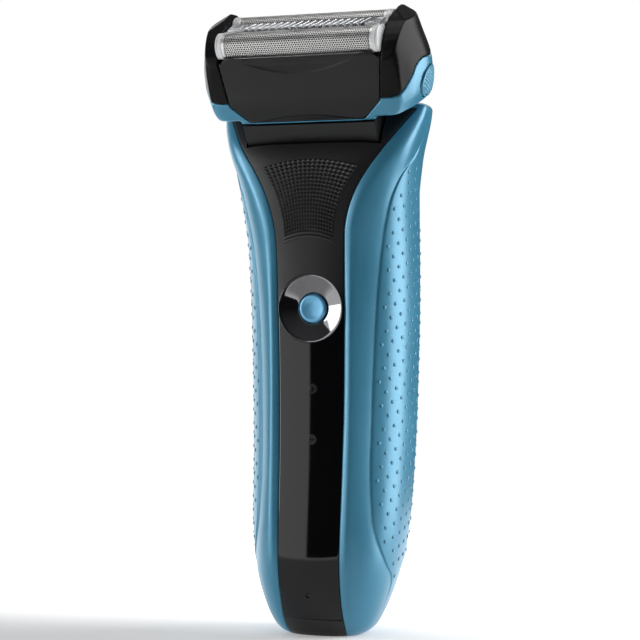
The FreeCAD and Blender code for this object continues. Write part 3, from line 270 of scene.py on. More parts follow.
M["cass"] = plastic("cassette_black", (0.0055, 0.0058, 0.0066), (0.0040, 0.0043, 0.0050), 0.32, 0.04, bump_s=0.18, ior=1.41)
M["dish"] = metal("dish_black_chrome", (0.20, 0.20, 0.205), (0.18, 0.18, 0.185), 0.05, (1, 1, 1), 500.0, 0.01, 0.002)
M["button"] = soft_touch("button_blue", (0.15, 0.46, 0.72), (0.13, 0.42, 0.67), 0.24)
M["window"] = plastic("dark_window", (0.018, 0.019, 0.021), (0.012, 0.013, 0.014), 0.12, 0.03)
M["icon"] = plastic("icon_grey", (0.045, 0.047, 0.05), (0.035, 0.037, 0.04), 0.35, 0.04)
M["seal"] = plastic("seal_rubber", (0.02, 0.02, 0.021), (0.014, 0.014, 0.015), 0.7, 0.05)
M["white"] = plastic("acetal_white", (0.72, 0.71, 0.67), (0.64, 0.63, 0.60), 0.45, 0.06)
M["cap_end"] = plastic("foil_end_grey", (0.84, 0.85, 0.86), (0.76, 0.77, 0.78), 0.22, 0.04, bump_s=0.08)
M["steel"] = metal("turned_steel", (0.62, 0.62, 0.64), (0.48, 0.48, 0.50), 0.28, (1, 1, 6))
M["blade"] = metal("ground_blade_steel", (0.84, 0.85, 0.87), (0.72, 0.73, 0.75), 0.30, (1, 8, 1))
M["foil"] = metal("foil_nickel", (0.93, 0.92, 0.90), (0.84, 0.83, 0.81), 0.36, (1, 1, 1), 1500.0, 0.08)
M["chrome"] = metal("dark_trim", (0.14, 0.145, 0.15), (0.11, 0.115, 0.12), 0.17, (1, 1, 1), 900.0, 0.05)
M["brass"] = metal("spring_brass", (0.70, 0.55, 0.28), (0.58, 0.44, 0.20), 0.30, (6, 1, 1))
M["motor"] = metal("plated_can", (0.55, 0.56, 0.58), (0.42, 0.43, 0.45), 0.34, (1, 1, 9))
M["cell"] = plastic("cell_sleeve", (0.10, 0.26, 0.15), (0.07, 0.20, 0.11), 0.30, 0.04)
M["board"] = plastic("glass_epoxy", (0.03, 0.14, 0.06), (0.015, 0.08, 0.035), 0.35, 0.05, smudge=400.0)


def lamella(name, axis, pitch_m):
    """Cutter steel with the fine slots between its blades drawn as dark lines across it: painted shade in place of the
    shadow down in the gaps.
    """
    m = metal(name, (0.20, 0.20, 0.21), (0.12, 0.12, 0.13), 0.34, (1, 6, 1))
    nt = m.node_tree
    p = nt.nodes["Principled BSDF"]
    w = nt.nodes.new("ShaderNodeTexWave")
    w.wave_type = "BANDS"
    w.bands_direction = axis
    w.inputs["Scale"].default_value = 1.0 / pitch_m / 20.0 * math.pi * 2.0 * 1.0
    nt.links.new(coords(nt), w.inputs["Vector"])
    old = p.inputs["Base Color"].links[0].from_socket
    # painted shade: dark bands mark where the slots between the blades would lie in shadow
    dark = remap(nt, w.outputs["Fac"], 0.0, 1.0, 0.35, 0.65)
    nt.links.new(mixcol(nt, dark, (0.02, 0.02, 0.022), old), p.inputs["Base Color"])
    nt.links.new(bump(nt, dark, 0.6, 0.12 * MM, p.inputs["Normal"].links[0].from_socket), p.inputs["Normal"])
    return m


M["cutter"] = lamella("cutter_lamella", "X", 0.0010)

NODE_MATERIAL = {
    "front_panel": "front", "rear_shell": "rear", "right_side_panel": "blue", "left_side_panel": "blue", "bottom_cap": "rear", "neck_yoke": "matte",
    "inner_chassis": "matte", "battery_cell": "cell", "battery_tabs": "brass", "circuit_board": "board", "tact_switch": "matte", "motor_can": "motor",
    "motor_plate": "matte", "motor_screws": "steel", "motor_shaft": "steel", "drive_slider": "white", "drive_pin": "steel", "socket_housing": "matte",
    "socket_pins": "brass", "cap_screws": "steel", "cap_gasket": "seal", "switch_dish": "dish", "dish_rim": "chrome", "power_button": "button",
    "level_windows": "window", "charge_light_lens": "window", "trimmer_tray": "matte", "trimmer_slide": "rear", "trimmer_comb": "blade",
    "trimmer_blade": "blade", "right_ear": "ear", "left_ear": "ear", "head_base": "blue_head", "right_release_button": "blue_head",
    "left_release_button": "blue_head", "release_springs": "steel", "head_drum": "satin", "pivot_pins": "steel", "drive_bridge": "white",
    "cassette_frame": "cass", "front_foil": "foil", "front_foil_ends": "cap_end", "front_cutter": "cutter", "rear_foil": "foil",
    "rear_foil_ends": "cap_end", "rear_cutter": "cutter", "centre_guard": "blade", "centre_blade": "blade",
}
for name, key in NODE_MATERIAL.items():
    o = NODES[name]
    o.data.materials.clear()
    o.data.materials.append(M[key])


# ------------------------------------------------------------- mesh helpers
def new_piece(name, verts, faces, material, smooth=True, angle=35.0):
    me = bpy.data.meshes.new(name)
    v = np.asarray(verts, float) * MM
    me.from_pydata([tuple(p) for p in v], [], [tuple(f) for f in faces])
    me.update()
    bm = bmesh.new()
    bm.from_mesh(me)
    bmesh.ops.remove_doubles(bm, verts=bm.verts, dist=1e-7)
    bmesh.ops.recalc_face_normals(bm, faces=bm.faces)
    bm.to_mesh(me)
    bm.free()
    o = bpy.data.objects.new(name, me)
    scene.collection.objects.link(o)
    if material is not None:
        me.materials.append(material)
    shade(o, smooth, angle)
    return o


def shade(o, smooth=True, angle=35.0):
    me = o.data
    n = len(me.polygons)
    me.polygons.foreach_set("use_smooth", np.full(n, bool(smooth)))
    if smooth and angle is not None:
        lim = math.radians(angle)
        bm = bmesh.new()
        bm.from_mesh(me)
        for e in bm.edges:
            e.smooth = not (len(e.link_faces) == 2 and e.calc_face_angle(0.0) > lim)
        bm.to_mesh(me)
        bm.free()
    me.update()


def grid_shell(outer, inner):
    """Closed shell between two grids of points with the same rows and columns."""
    r, c = outer.shape[:2]
    verts = np.concatenate([outer.reshape(-1, 3), inner.reshape(-1, 3)])
    off = r * c
    faces = []
    for i in range(r - 1):
        for j in range(c - 1):
            a = i * c + j
            faces.append((a, a + 1, a + c + 1, a + c))
            b = a + off
            faces.append((b, b + c, b + c + 1, b + 1))
    for i in range(r - 1):
        for j in (0, c - 1):
            a, b = i * c + j, (i + 1) * c + j
            faces.append((a, b, b + off, a + off) if j == 0 else (a, a + off, b + off, b))
    for j in range(c - 1):
        for i in (0, r - 1):
            a, b = i * c + j, i * c + j + 1
            faces.append((a, a + off, b + off, b) if i == 0 else (a, b, b + off, a + off))
    return verts, faces


def normals_of(p, flip=False):
    du = np.gradient(p, axis=1)
    dv = np.gradient(p, axis=0)
    n = np.cross(du, dv)
    n /= np.maximum(np.linalg.norm(n, axis=2, keepdims=True), 1e-12)
    return -n if flip else n


def lathe(name, profile, centre, axis, material, steps=96, angle=30.0):
    """Turned piece: profile of (radius, height) about an axis through centre."""
    ax = Vector(axis).normalized()
    ref = Vector((1, 0, 0)) if abs(ax.x) < 0.9 else Vector((0, 0, 1))
    u = ax.cross(ref).normalized()
    w = ax.cross(u).normalized()
    verts, faces = [], []
    rows = []
    for r, h in profile:
        base = Vector(centre) + ax * h
        if r < 1e-9:
            rows.append([len(verts)])
            verts.append(tuple(base))
        else:
            ids = []
            for k in range(steps):
                t = 2 * math.pi * k / steps
                ids.append(len(verts))
                verts.append(tuple(base + u * (r * math.cos(t)) + w * (r * math.sin(t))))
            rows.append(ids)
    for a, b in zip(rows, rows[1:]):
        for k in range(steps):
            k2 = (k + 1) % steps
            if len(a) == 1 and len(b) == 1:
                continue
            if len(a) == 1:
                faces.append((a[0], b[k], b[k2]))
            elif len(b) == 1:
                faces.append((a[k], b[0], a[k2]))
            else:
                faces.append((a[k], b[k], b[k2], a[k2]))
    if len(rows[0]) > 1 and len(rows[-1]) > 1:
        for k in range(steps):
            k2 = (k + 1) % steps
            faces.append((rows[-1][k], rows[0][k], rows[0][k2], rows[-1][k2]))
    return new_piece(name, verts, faces, material, True, angle)


def apply_boolean(obj, tool, op="DIFFERENCE"):
    md = obj.modifiers.new("cut", "BOOLEAN")
    md.object = tool
    md.operation = op
    md.solver = "EXACT"
    bake(obj)
    bpy.data.objects.remove(tool, do_unlink=True)


def bake(obj):
    """Apply every modifier of obj to its mesh."""
    dg = bpy.context.evaluated_depsgraph_get()
    dg.update()
    me = bpy.data.meshes.new_from_object(obj.evaluated_get(dg), preserve_all_data_layers=True, depsgraph=dg)
    mats = [m for m in obj.data.materials]
    obj.modifiers.clear()
    obj.data = me
    if not len(me.materials):
        for m in mats:
            me.materials.append(m)
    return obj


def prism(name, pts, direction, lo, hi, frame_fn=None):
    """Closed outline of 2D points pushed along an axis from lo to hi; frame_fn maps (a, b, c) to a point."""
    n = len(pts)
    verts = [frame_fn(p[0], p[1], lo) for p in pts] + [frame_fn(p[0], p[1], hi) for p in pts]
    faces = [tuple(range(n - 1, -1, -1)), tuple(range(n, 2 * n))]
    for k in range(n):
        k2 = (k + 1) % n
        faces.append((k, k2, n + k2, n + k))
    return new_piece(name, verts, faces, None, False)


def finish_piece(obj, body, slot, *nodes):
    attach(obj, body)
    if nodes:
        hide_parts(*nodes)
    return obj

# ------------------------------------------------------------ handle surface

STATIONS = [
    (0.0, 10.3, -1.6, -8.9, 10.8, 8.2, 7.6, 2.30, 2.40),
    (0.6, 11.8, -1.4, -9.6, 11.8, 8.5, 8.1, 2.30, 2.40),
    (1.8, 13.4, -1.3, -10.6, 12.9, 8.7, 8.7, 2.30, 2.40),
    (3.2, 14.5, -1.1, -11.7, 13.8, 8.85, 9.3, 2.30, 2.40),
    (5.0, 15.5, -0.8, -12.8, 14.7, 8.9, 9.9, 2.30, 2.39),
    (8.0, 16.9, -0.1, -14.1, 15.7, 8.9, 10.5, 2.30, 2.39),
    (11.0, 18.1, 0.6, -15.0, 16.6, 8.92, 10.9, 2.30, 2.39),
    (15.0, 19.5, 1.4, -15.9, 17.6, 9.0, 11.3, 2.30, 2.38),
    (20.0, 20.9, 2.2, -16.4, 18.7, 9.03, 11.7, 2.30, 2.38),
    (26.0, 21.8, 3.1, -16.3, 19.8, 9.09, 12.0, 2.30, 2.37),
    (33.0, 22.3, 4.1, -15.9, 20.9, 9.19, 12.2, 2.30, 2.36),
    (41.0, 22.65, 5.3, -15.3, 21.9, 9.29, 12.4, 2.30, 2.36),
    (50.0, 22.95, 6.5, -14.7, 22.9, 9.37, 12.5, 2.30, 2.34),
    (60.0, 23.25, 7.3, -14.25, 23.6, 9.52, 12.5, 2.30, 2.33),
    (70.0, 23.5, 7.6, -14.05, 24.0, 9.63, 12.5, 2.30, 2.32),
    (80.0, 23.75, 7.75, -14.1, 24.25, 9.74, 12.5, 2.30, 2.31),
    (90.0, 24.0, 7.7, -14.35, 24.3, 9.88, 12.6, 2.30, 2.30),
    (100.0, 24.15, 7.2, -14.6, 24.0, 9.96, 12.9, 2.37, 2.33),
    (108.0, 24.3, 6.5, -14.95, 23.4, 10.12, 13.5, 2.44, 2.36),
    (114.0, 24.5, 5.6, -15.4, 22.6, 10.5, 14.3, 2.58, 2.38),
    (120.0, 24.9, 4.5, -15.5, 21.6, 12.0, 15.6, 2.83, 2.40),
    (125.0, 25.5, 3.4, -15.25, 20.4, 14.1, 17.1, 3.00, 2.52),
    (130.0, 26.3, 2.3, -14.6, 19.0, 17.1, 18.9, 3.30, 2.65),
    (134.0, 27.05, 1.4, -13.7, 17.7, 19.9, 20.5, 3.74, 2.75),
    (137.0, 27.75, 0.7, -12.4, 16.6, 21.95, 21.9, 4.12, 2.83),
    (140.0, 28.55, 0.3, -10.45, 15.5, 23.85, 23.3, 4.48, 2.93),
    (142.0, 29.1, 0.1, -9.0, 14.8, 25.1, 24.2, 4.66, 3.00),
    (144.0, 29.6, -0.1, -7.45, 14.1, 26.35, 25.2, 4.77, 3.07),
    (145.4, 29.9, -0.25, -6.25, 13.5, 27.25, 25.9, 4.85, 3.10),
    (146.6, 30.1, -0.4, -5.05, 12.9, 27.95, 26.4, 4.92, 3.15),
]
_T = np.array(STATIONS, float)


def cubic(xs, ys, x):
    """Smooth curve through the points (nonuniform Catmull-Rom)."""
    xs, ys = np.asarray(xs, float), np.asarray(ys, float)
    x = min(max(float(x), xs[0]), xs[-1])
    k = int(min(max(np.searchsorted(xs, x) - 1, 0), len(xs) - 2))
    h = xs[k + 1] - xs[k]

    def slope(i):
        if i == 0:
            return (ys[1] - ys[0]) / (xs[1] - xs[0])
        if i == len(xs) - 1:
            return (ys[-1] - ys[-2]) / (xs[-1] - xs[-2])
        a, b = xs[i] - xs[i - 1], xs[i + 1] - xs[i]
        da, db = (ys[i] - ys[i - 1]) / a, (ys[i + 1] - ys[i]) / b
        return (da * b + db * a) / (a + b)
    t = (x - xs[k]) / h
    m0, m1 = slope(k) * h, slope(k + 1) * h
    return ((2 * t ** 3 - 3 * t ** 2 + 1) * ys[k] + (t ** 3 - 2 * t ** 2 + t) * m0
            + (-2 * t ** 3 + 3 * t ** 2) * ys[k + 1] + (t ** 3 - t ** 2) * m1)


def station(z):
    return [cubic(_T[:, 0], _T[:, c], z) for c in range(1, 9)]


def outline(z, n=900):
    """Half section at height z: points, arc length, and the arc lengths of the two seams."""
    w, yc, yf, yb, xf, xr, nf, nb = station(z)
    a = np.linspace(0.0, math.pi, n)
    ca, sa = np.cos(a), np.abs(np.sin(a))
    e = np.where(ca >= 0, 2.0 / nf, 2.0 / nb)
    x = w * sa ** e
    y = np.where(ca >= 0, yc - (yc - yf) * np.abs(ca) ** e, yc + (yb - yc) * np.abs(ca) ** e)
    s = np.concatenate([[0.0], np.cumsum(np.hypot(np.diff(x), np.diff(y)))])
    half = n // 2
    kf = int(np.argmax(x[:half] >= xf))
    tf = (xf - x[kf - 1]) / (x[kf] - x[kf - 1])
    sf = s[kf - 1] + (s[kf] - s[kf - 1]) * tf
    back = np.arange(n - 1, half, -1)
    kb = back[int(np.argmax(x[back] >= xr))]
    tb = (xr - x[kb + 1]) / (x[kb] - x[kb + 1])
    sr = s[kb + 1] + (s[kb] - s[kb + 1]) * tb
    return x, y, s, sf, sr


WALL, GAP = 1.8, 0.08
SHELL_TOP = 146.6


def sample(z, s_list):
    """Points of the half section at the given arc lengths."""
    x, y, s, sf, sr = OUT(z)
    return np.stack([np.interp(s_list, s, x), np.interp(s_list, s, y)], axis=1)


_cache = {}


def OUT(z):
    k = round(float(z), 4)
    if k not in _cache:
        _cache[k] = outline(k)
    return _cache[k]


def table(rows):
    a = np.array(rows, float)
    a = a[np.argsort(a[:, 0])]
    return lambda z: float(np.interp(z, a[:, 0], a[:, 1]))


def smooth_table(rows):
    a = np.array(rows, float)
    a = a[np.argsort(a[:, 0])]
    return lambda z: float(cubic(a[:, 0], a[:, 1], z))


def sstep(t):
    t = np.clip(t, 0.0, 1.0)
    return t * t * (3 - 2 * t)


CREASE_F = smooth_table([(0, .50), (10, .50), (14.0, .495), (16.9, .45), (19.5, .375), (23.1, .309), (30.2, .229), (38.4, .198), (60.4, .1815), (77, .186), (93.5, .201), (104.5, .224), (115.5, .257),
                         (123.8, .276), (129.3, .317), (134.7, .45), (138.5, .485), (148.5, .485)])
CREASE_R = smooth_table([(0, .525), (10, .525), (14.0, .53), (16.9, .57), (23.1, .70), (30.2, .79), (38.4, .82), (60.4, .835), (77, .835), (93.5, .82), (104.5, .79), (115.5, .73),
                         (123.8, .655), (129.3, .60), (134.7, .53), (138.5, .515), (148.5, .515)])
RIDGE_S = smooth_table([(0, 1.6), (8, 2.0), (20, 2.1), (105, 2.1), (118, 2.6), (126, 3.3), (134, 4.0), (142, 4.6), (148.5, 5.0)])
RIDGE_H = smooth_table([(0, 0.10), (5, 0.42), (12, 0.75), (25, 0.98), (105, 0.98), (120, 0.82), (134, 0.50), (146.6, 0.10), (148.5, 0.0)])
BAND_D = smooth_table([(0, 0.0), (8, 0.05), (14, 0.22), (20, 0.32), (30, 0.38), (118, 0.38), (128, 0.36), (134, 0.28), (138.5, 0.0), (148.5, 0.0)])


def relief(s, z, L):
    """How far the soft skin stands off the plain section: inner bevel, ridge, hollow band, raised grip lens."""
    sc, sr2 = CREASE_F(z) * L, CREASE_R(z) * L
    rs, rh, d = RIDGE_S(z), RIDGE_H(z), BAND_D(z)
    s = np.asarray(s, float)
    bevel = rh * np.sin(0.5 * math.pi * np.clip(s / rs, 0, 1))
    t = np.clip((s - rs) / max(0.5, sc - rs), 0, 1)
    band = rh - (rh + d) * np.clip(1.12 * t * t / (t + 0.12), 0, 1)
    front = np.where(s < rs, bevel, band)
    tr = np.clip((L - s) / max(0.5, L - sr2), 0, 1)
    back = -d * np.clip(tr * 1.1, 0, 1) ** 0.8
    lens = sstep((s - (sc - 0.38)) / 0.76) * (1 - sstep((s - (sr2 - 0.38)) / 0.76))
    base = np.where(s < 0.5 * (sc + sr2), front, back)
    h = base * (1 - lens)
    e = 0.32
    h = h - 0.22 * np.clip(1 - s / e, 0, 1) ** 2 - 0.22 * np.clip(1 - (L - s) / e, 0, 1) ** 2
    return h


def z_rows(z0, z1, fine=0.4, coarse=0.8):
    out = list(np.arange(z0, min(8.0, z1), fine)) if z0 < 8 else []
    out += list(np.arange(max(8.0, z0), z1, coarse))
    if z1 - out[-1] < 0.25:
        out.pop()
    return np.array(out + [z1])


def side_columns(z, L):
    sc, sr2, rs = CREASE_F(z) * L, CREASE_R(z) * L, RIDGE_S(z)
    parts = [np.array([0.0, 0.08, 0.2, 0.34]), np.linspace(0.55, rs, 7)[:-1], np.linspace(rs, sc - 0.4, 17)[:-1], np.linspace(sc - 0.4, sc + 0.4, 7)[:-1],
             np.linspace(sc + 0.4, max(sc + 0.5, sr2 - 0.4), 41)[:-1], np.linspace(max(sc + 0.5, sr2 - 0.4), sr2 + 0.4, 7)[:-1], np.linspace(sr2 + 0.4, L - 0.5, 15),
             np.array([L - 0.34, L - 0.2, L - 0.08, L])]
    return np.maximum.accumulate(np.concatenate(parts))


def side_surface():
    """Outer and inner grids of the right-hand side panel, horn included."""
    zs = z_rows(0.0, SHELL_TOP)
    outer, inner, svals = [], [], []
    for z in zs:
        x, y, s, sf, sr = OUT(z)
        L = sr - sf - 2 * GAP
        cols = side_columns(z, L)
        p = sample(z, sf + GAP + cols)
        a = sample(z, sf + GAP + cols + 0.15)
        b = sample(z, sf + GAP + cols - 0.15)
        t = a - b
        t /= np.maximum(np.linalg.norm(t, axis=1, keepdims=True), 1e-9)
        n2 = np.stack([t[:, 1], -t[:, 0]], axis=1)
        h = relief(cols, z, L)
        q = p + n2 * h[:, None]
        wall = 1.0 if z < 4.9 else WALL
        i2 = p - n2 * wall
        outer.append(np.column_stack([q, np.full(len(q), z)]))
        inner.append(np.column_stack([i2, np.full(len(q), z)]))
        svals.append(cols)
    # horn: the last section shrinks towards a point inside it
    top_o, top_i = outer[-1], inner[-1]
    L = svals[-1][-1]
    for z, k in ((146.85, 0.985), (147.1, 0.955), (147.35, 0.91), (147.6, 0.85), (147.8, 0.78), (148.0, 0.68), (148.18, 0.56), (148.32, 0.45), (148.42, 0.31), (148.5, 0.16)):
        c = np.array([26.6, 1.2, 0.0])
        o = c + (top_o - c) * k
        i = c + (top_i - c) * min(k, 0.9) * 0.96
        o[:, 2] = z
        i[:, 2] = min(z, 148.3) - 0.12
        outer.append(o)
        inner.append(i)
        svals.append(svals[-1])
    return np.array(outer), np.array(inner), zs, np.array(svals)


SIDE_O, SIDE_I, SIDE_Z, SIDE_S = side_surface()
SIDE_N = normals_of(SIDE_O)
if SIDE_N[len(SIDE_Z) // 2, 50][0] < 0:
    SIDE_N = -SIDE_N


def mirror(p):
    q = np.array(p, float).copy()
    q[..., 0] *= -1
    return q


def horn_dome():
    """Closed cap of the horn, between the cradle wall and the outer skin."""
    x, y, s, sf, sr = OUT(SHELL_TOP)
    half = len(x) // 2
    s0 = np.interp(20.02, x[:half], s[:half])
    s1 = np.interp(-20.02, -x[half:], s[half:])
    pts = sample(SHELL_TOP, np.linspace(s0, s1, 60))
    pts[:, 0] = np.maximum(pts[:, 0], 20.02)
    rows = []
    for z, k in ((146.3, 0.992), (146.6, 0.992), (146.85, 0.975), (147.1, 0.945), (147.35, 0.90), (147.6, 0.84), (147.8, 0.77), (148.0, 0.67), (148.15, 0.55), (148.28, 0.44), (148.36, 0.30)):
        rows.append([(26.6 + (p[0] - 26.6) * k, 1.2 + (p[1] - 1.2) * k, z) for p in pts])
    n = len(pts)
    verts = [v for r in rows for v in r]
    faces = []
    for i in range(len(rows) - 1):
        for j in range(n):
            j2 = (j + 1) % n
            faces.append((i * n + j, i * n + j2, (i + 1) * n + j2, (i + 1) * n + j))
    faces.append(tuple(range(n - 1, -1, -1)))
    faces.append(tuple(range((len(rows) - 1) * n, len(rows) * n)))
    return np.array(verts), faces


def pip_points():
    """Lattice of the raised pips on the grip lens: (row index, column index) fractions with surface point and normal."""
    out = []
    for i in range(-14, 24):
        for j in range(-34, 24):
            u = 4.9 + 3.72 * i + 1.36 * j
            z = 99.0 + 1.02 * i + 3.78 * j
            if not 13.0 < z < 138.0:
                continue
            x, y, s, sf, sr = OUT(z)
            L = sr - sf - 2 * GAP
            sc, sr2 = CREASE_F(z) * L, CREASE_R(z) * L
            q = sc + u
            if u < 1.45 or q > sr2 - 1.5:
                continue
            k = float(np.interp(z, SIDE_Z, np.arange(len(SIDE_Z))))
            k0 = min(int(k), len(SIDE_Z) - 2)
            f = k - k0
            pt, nn = np.zeros(3), np.zeros(3)
            for kk, wgt in ((k0, 1 - f), (k0 + 1, f)):
                for c in range(3):
                    pt[c] += wgt * np.interp(q, SIDE_S[kk], SIDE_O[kk][:, c])
                    nn[c] += wgt * np.interp(q, SIDE_S[kk], SIDE_N[kk][:, c])
            out.append((pt, nn / np.linalg.norm(nn)))
    return out


def pips_mesh(points, r=0.57, h=0.27):
    verts, faces = [], []
    seg = 14
    prof = [(1.0, -0.10), (1.0, 0.02), (0.93, 0.16), (0.76, 0.26), (0.5, 0.335), (0.22, 0.385)]
    for p, n in points:
        ref = np.array([0.0, 0.0, 1.0])
        a = np.cross(n, ref)
        a /= np.linalg.norm(a)
        b = np.cross(n, a)
        base = len(verts)
        for rr, hh in prof:
            for k in range(seg):
                t = 2 * math.pi * k / seg
                verts.append(p + a * (r * rr * math.cos(t)) + b * (r * rr * math.sin(t)) + n * (hh * h / 0.40))
        verts.append(p + n * h)
        top = len(verts) - 1
        for i in range(len(prof) - 1):
            for k in range(seg):
                k2 = (k + 1) % seg
                faces.append((base + i * seg + k, base + i * seg + k2, base + (i + 1) * seg + k2, base + (i + 1) * seg + k))
        last = base + (len(prof) - 1) * seg
        for k in range(seg):
            faces.append((last + k, last + (k + 1) % seg, top))
        faces.append(tuple(base + k for k in range(seg - 1, -1, -1)))
    return np.array(verts), faces


sv, sf_ = grid_shell(SIDE_O, SIDE_I)
hv, hf = horn_dome()
PIPS = pip_points()
for tag, sign in (("right", 1), ("left", -1)):
    v = sv if sign > 0 else mirror(sv)
    o = new_piece(tag + "_side_skin", v, sf_, M["blue"], True, 50.0)
    finish_piece(o, "handle", "blue", tag + "_side_panel")
    hvv = hv if sign > 0 else mirror(hv)
    o = new_piece(tag + "_horn_core", hvv, hf, M["blue"], True, 40.0)
    finish_piece(o, "handle", "blue")
    pts = PIPS if sign > 0 else [(mirror(p), mirror(n)) for p, n in PIPS]
    pv, pf = pips_mesh(pts)
    o = new_piece(tag + "_grip_pips", pv, pf, M["pip"], True, 60.0)
    finish_piece(o, "handle", "blue")


# ---------------------------------------------------------- front moulding
def y_front(x, z):
    ox, oy, s, sf, sr = OUT(z)
    half = len(ox) // 2
    return float(np.interp(abs(x), ox[:half], oy[:half]))


def strip_grid(zs, which, count, wall=WALL):
    outer, inner = [], []
    for z in zs:
        x, y, s, sf, sr = OUT(z)
        if which == "front":
            e = sf - GAP
            t = np.linspace(-1, 1, count)
            cols = np.sign(t) * e * (1 - (1 - np.abs(t)) ** 1.0)
            edge = e - np.abs(cols)
        else:
            e = s[-1] - sr - GAP
            t = np.linspace(-1, 1, count)
            cols = t * e
            edge = e - np.abs(cols)
        sl = np.abs(cols) if which == "front" else s[-1] - np.abs(cols)
        p = sample(z, sl)
        a, b = sample(z, np.minimum(sl + 0.15, s[-1])), sample(z, np.maximum(sl - 0.15, 0))
        tt = a - b
        tt /= np.maximum(np.linalg.norm(tt, axis=1, keepdims=True), 1e-9)
        n2 = np.stack([tt[:, 1], -tt[:, 0]], axis=1)
        mid = np.abs(cols) < 1e-9
        n2[mid] = [0.0, -1.0 if which == "front" else 1.0]
        h = -0.14 * np.clip(1 - edge / 0.3, 0, 1) ** 2
        q = p + n2 * h[:, None]
        i2 = p - n2 * wall
        sg = np.where(cols < 0, -1.0, 1.0)
        outer.append(np.column_stack([q[:, 0] * sg, q[:, 1], np.full(count, z)]))
        inner.append(np.column_stack([i2[:, 0] * sg, i2[:, 1], np.full(count, z)]))
    return np.array(outer), np.array(inner)


def cradle_tool():
    RC, RR, HC = 18.0, 10.7, 20.0
    pts = []

    def pol(r, deg):
        return (r * math.cos(math.radians(deg)), 150.0 + r * math.sin(math.radians(deg)))
    lip = pol(RC, -135.0)
    pts.append((-40.0, lip[1]))
    pts += [pol(RC, -135.0 + 45.0 * k / 16) for k in range(17)]
    pts += [pol(RR, -90.0 + 90.0 * k / 24) for k in range(25)]
    pts += [(RR, 162.0), (-40.0, 162.0)]
    return prism("cradle_tool", pts, "X", -HC, HC, lambda a, b, c: (c, a, b))


edge_t = 1.0
fo, fi = strip_grid(z_rows(5.12, SHELL_TOP, 0.4, 0.7), "front", 121)
v, f = grid_shell(fo, fi)
front = new_piece("front_moulding", v, f, M["front"], True, 40.0)
apply_boolean(front, cradle_tool())
hole = lathe("dish_hole", [(0.0, -6.0), (9.57, -6.0), (9.57, 6.0), (0.0, 6.0)], (0, -13.6, 91.2), (0, -1, 0), None, 128)
apply_boolean(front, hole)
lens_hole = lathe("lens_hole", [(0.0, -4.0), (0.72, -4.0), (0.72, 4.0), (0.0, 4.0)], (0, -15.2, 12.0), (0, -1, 0), None, 32)
apply_boolean(front, lens_hole)
front.name = "front_moulding"
shade(front, True, 40.0)
finish_piece(front, "handle", "front", "front_panel")

TRIM = Matrix.Translation((0, 20.6, 118.0)) @ Matrix.Rotation(math.radians(12.9), 4, "X")
ro, ri = strip_grid(z_rows(5.12, SHELL_TOP, 0.6, 1.0), "rear", 91)
v, f = grid_shell(ro, ri)
rear = new_piece("rear_moulding", v, f, M["rear"], True, 40.0)
apply_boolean(rear, cradle_tool())


def trim_pt(x, y, z):
    return tuple(TRIM @ Vector((x, y, z)))


win = [(-12.3, -15.2), (12.3, -15.2), (12.3, 44.8), (-12.3, 44.8)]
apply_boolean(rear, prism("trim_window", win, "Y", -4.1, 7.9, lambda a, b, c: trim_pt(a, c, b)))
shade(rear, True, 40.0)
finish_piece(rear, "handle", "rear", "rear_shell")


# Bottom cap: shows as the black foot of the front and rear strips.
def cap_mesh():
    zs = [0.0, 0.1, 0.3, 0.6, 1.0, 1.4, 1.8, 2.4, 3.0, 3.6, 4.2, 4.7, 4.9, 4.96]
    rows = []
    for z in zs:
        x, y, s, sf, sr = OUT(z)
        a, b = sf - GAP, sr + GAP
        tot = s[-1]
        sl = np.concatenate([np.linspace(0, a - 0.01, 40), np.linspace(a, b, 50), np.linspace(b + 0.01, tot, 40)])
        p = sample(z, sl)
        u, w = sample(z, np.minimum(sl + 0.15, tot)), sample(z, np.maximum(sl - 0.15, 0))
        t = u - w
        t /= np.maximum(np.linalg.norm(t, axis=1, keepdims=True), 1e-9)
        n2 = np.stack([t[:, 1], -t[:, 0]], axis=1)
        inset = np.where((sl >= a - 1e-6) & (sl <= b + 1e-6), 1.12, 0.0)
        near = np.minimum(np.abs(sl - a), np.abs(sl - b))
        inset = np.where((inset == 0.0) & (near < 0.3), 0.12 * (1 - near / 0.3) ** 2, inset)
        lip = 0.12 * max(0.0, 1 - (4.96 - z) / 0.25) ** 2
        q = p - n2 * (inset + lip)[:, None]
        right = np.column_stack([q, np.full(len(q), z)])
        left = right[-2:0:-1].copy()
        left[:, 0] *= -1
        rows.append(np.concatenate([right, left]))
    rows = np.array(rows)
    n = rows.shape[1]
    verts = rows.reshape(-1, 3)
    faces = []
    for i in range(len(zs) - 1):
        for j in range(n):
            j2 = (j + 1) % n
            faces.append((i * n + j, i * n + j2, (i + 1) * n + j2, (i + 1) * n + j))
    faces.append(tuple(range(n - 1, -1, -1)))
    faces.append(tuple(range((len(zs) - 1) * n, len(zs) * n)))
    return verts, faces


v, f = cap_mesh()
cap = new_piece("base_cap", v, f, M["satin"], True, 40.0)
apply_boolean(cap, prism("cap_well", [(-4.95, -3.35), (4.95, -3.35), (4.95, 3.35), (-4.95, 3.35)], "Z", -1.0, 8.0, lambda a, b, c: (a, b, c)))
for sx in (8.0, -8.0):
    apply_boolean(cap, lathe("sink", [(0.0, -1.0), (2.05, -1.0), (2.05, 2.4), (1.12, 2.5), (1.12, 7.0), (0.0, 7.0)], (sx, 3.0, 0), (0, 0, 1), None, 48))
shade(cap, True, 40.0)
finish_piece(cap, "handle", "rear", "bottom_cap")


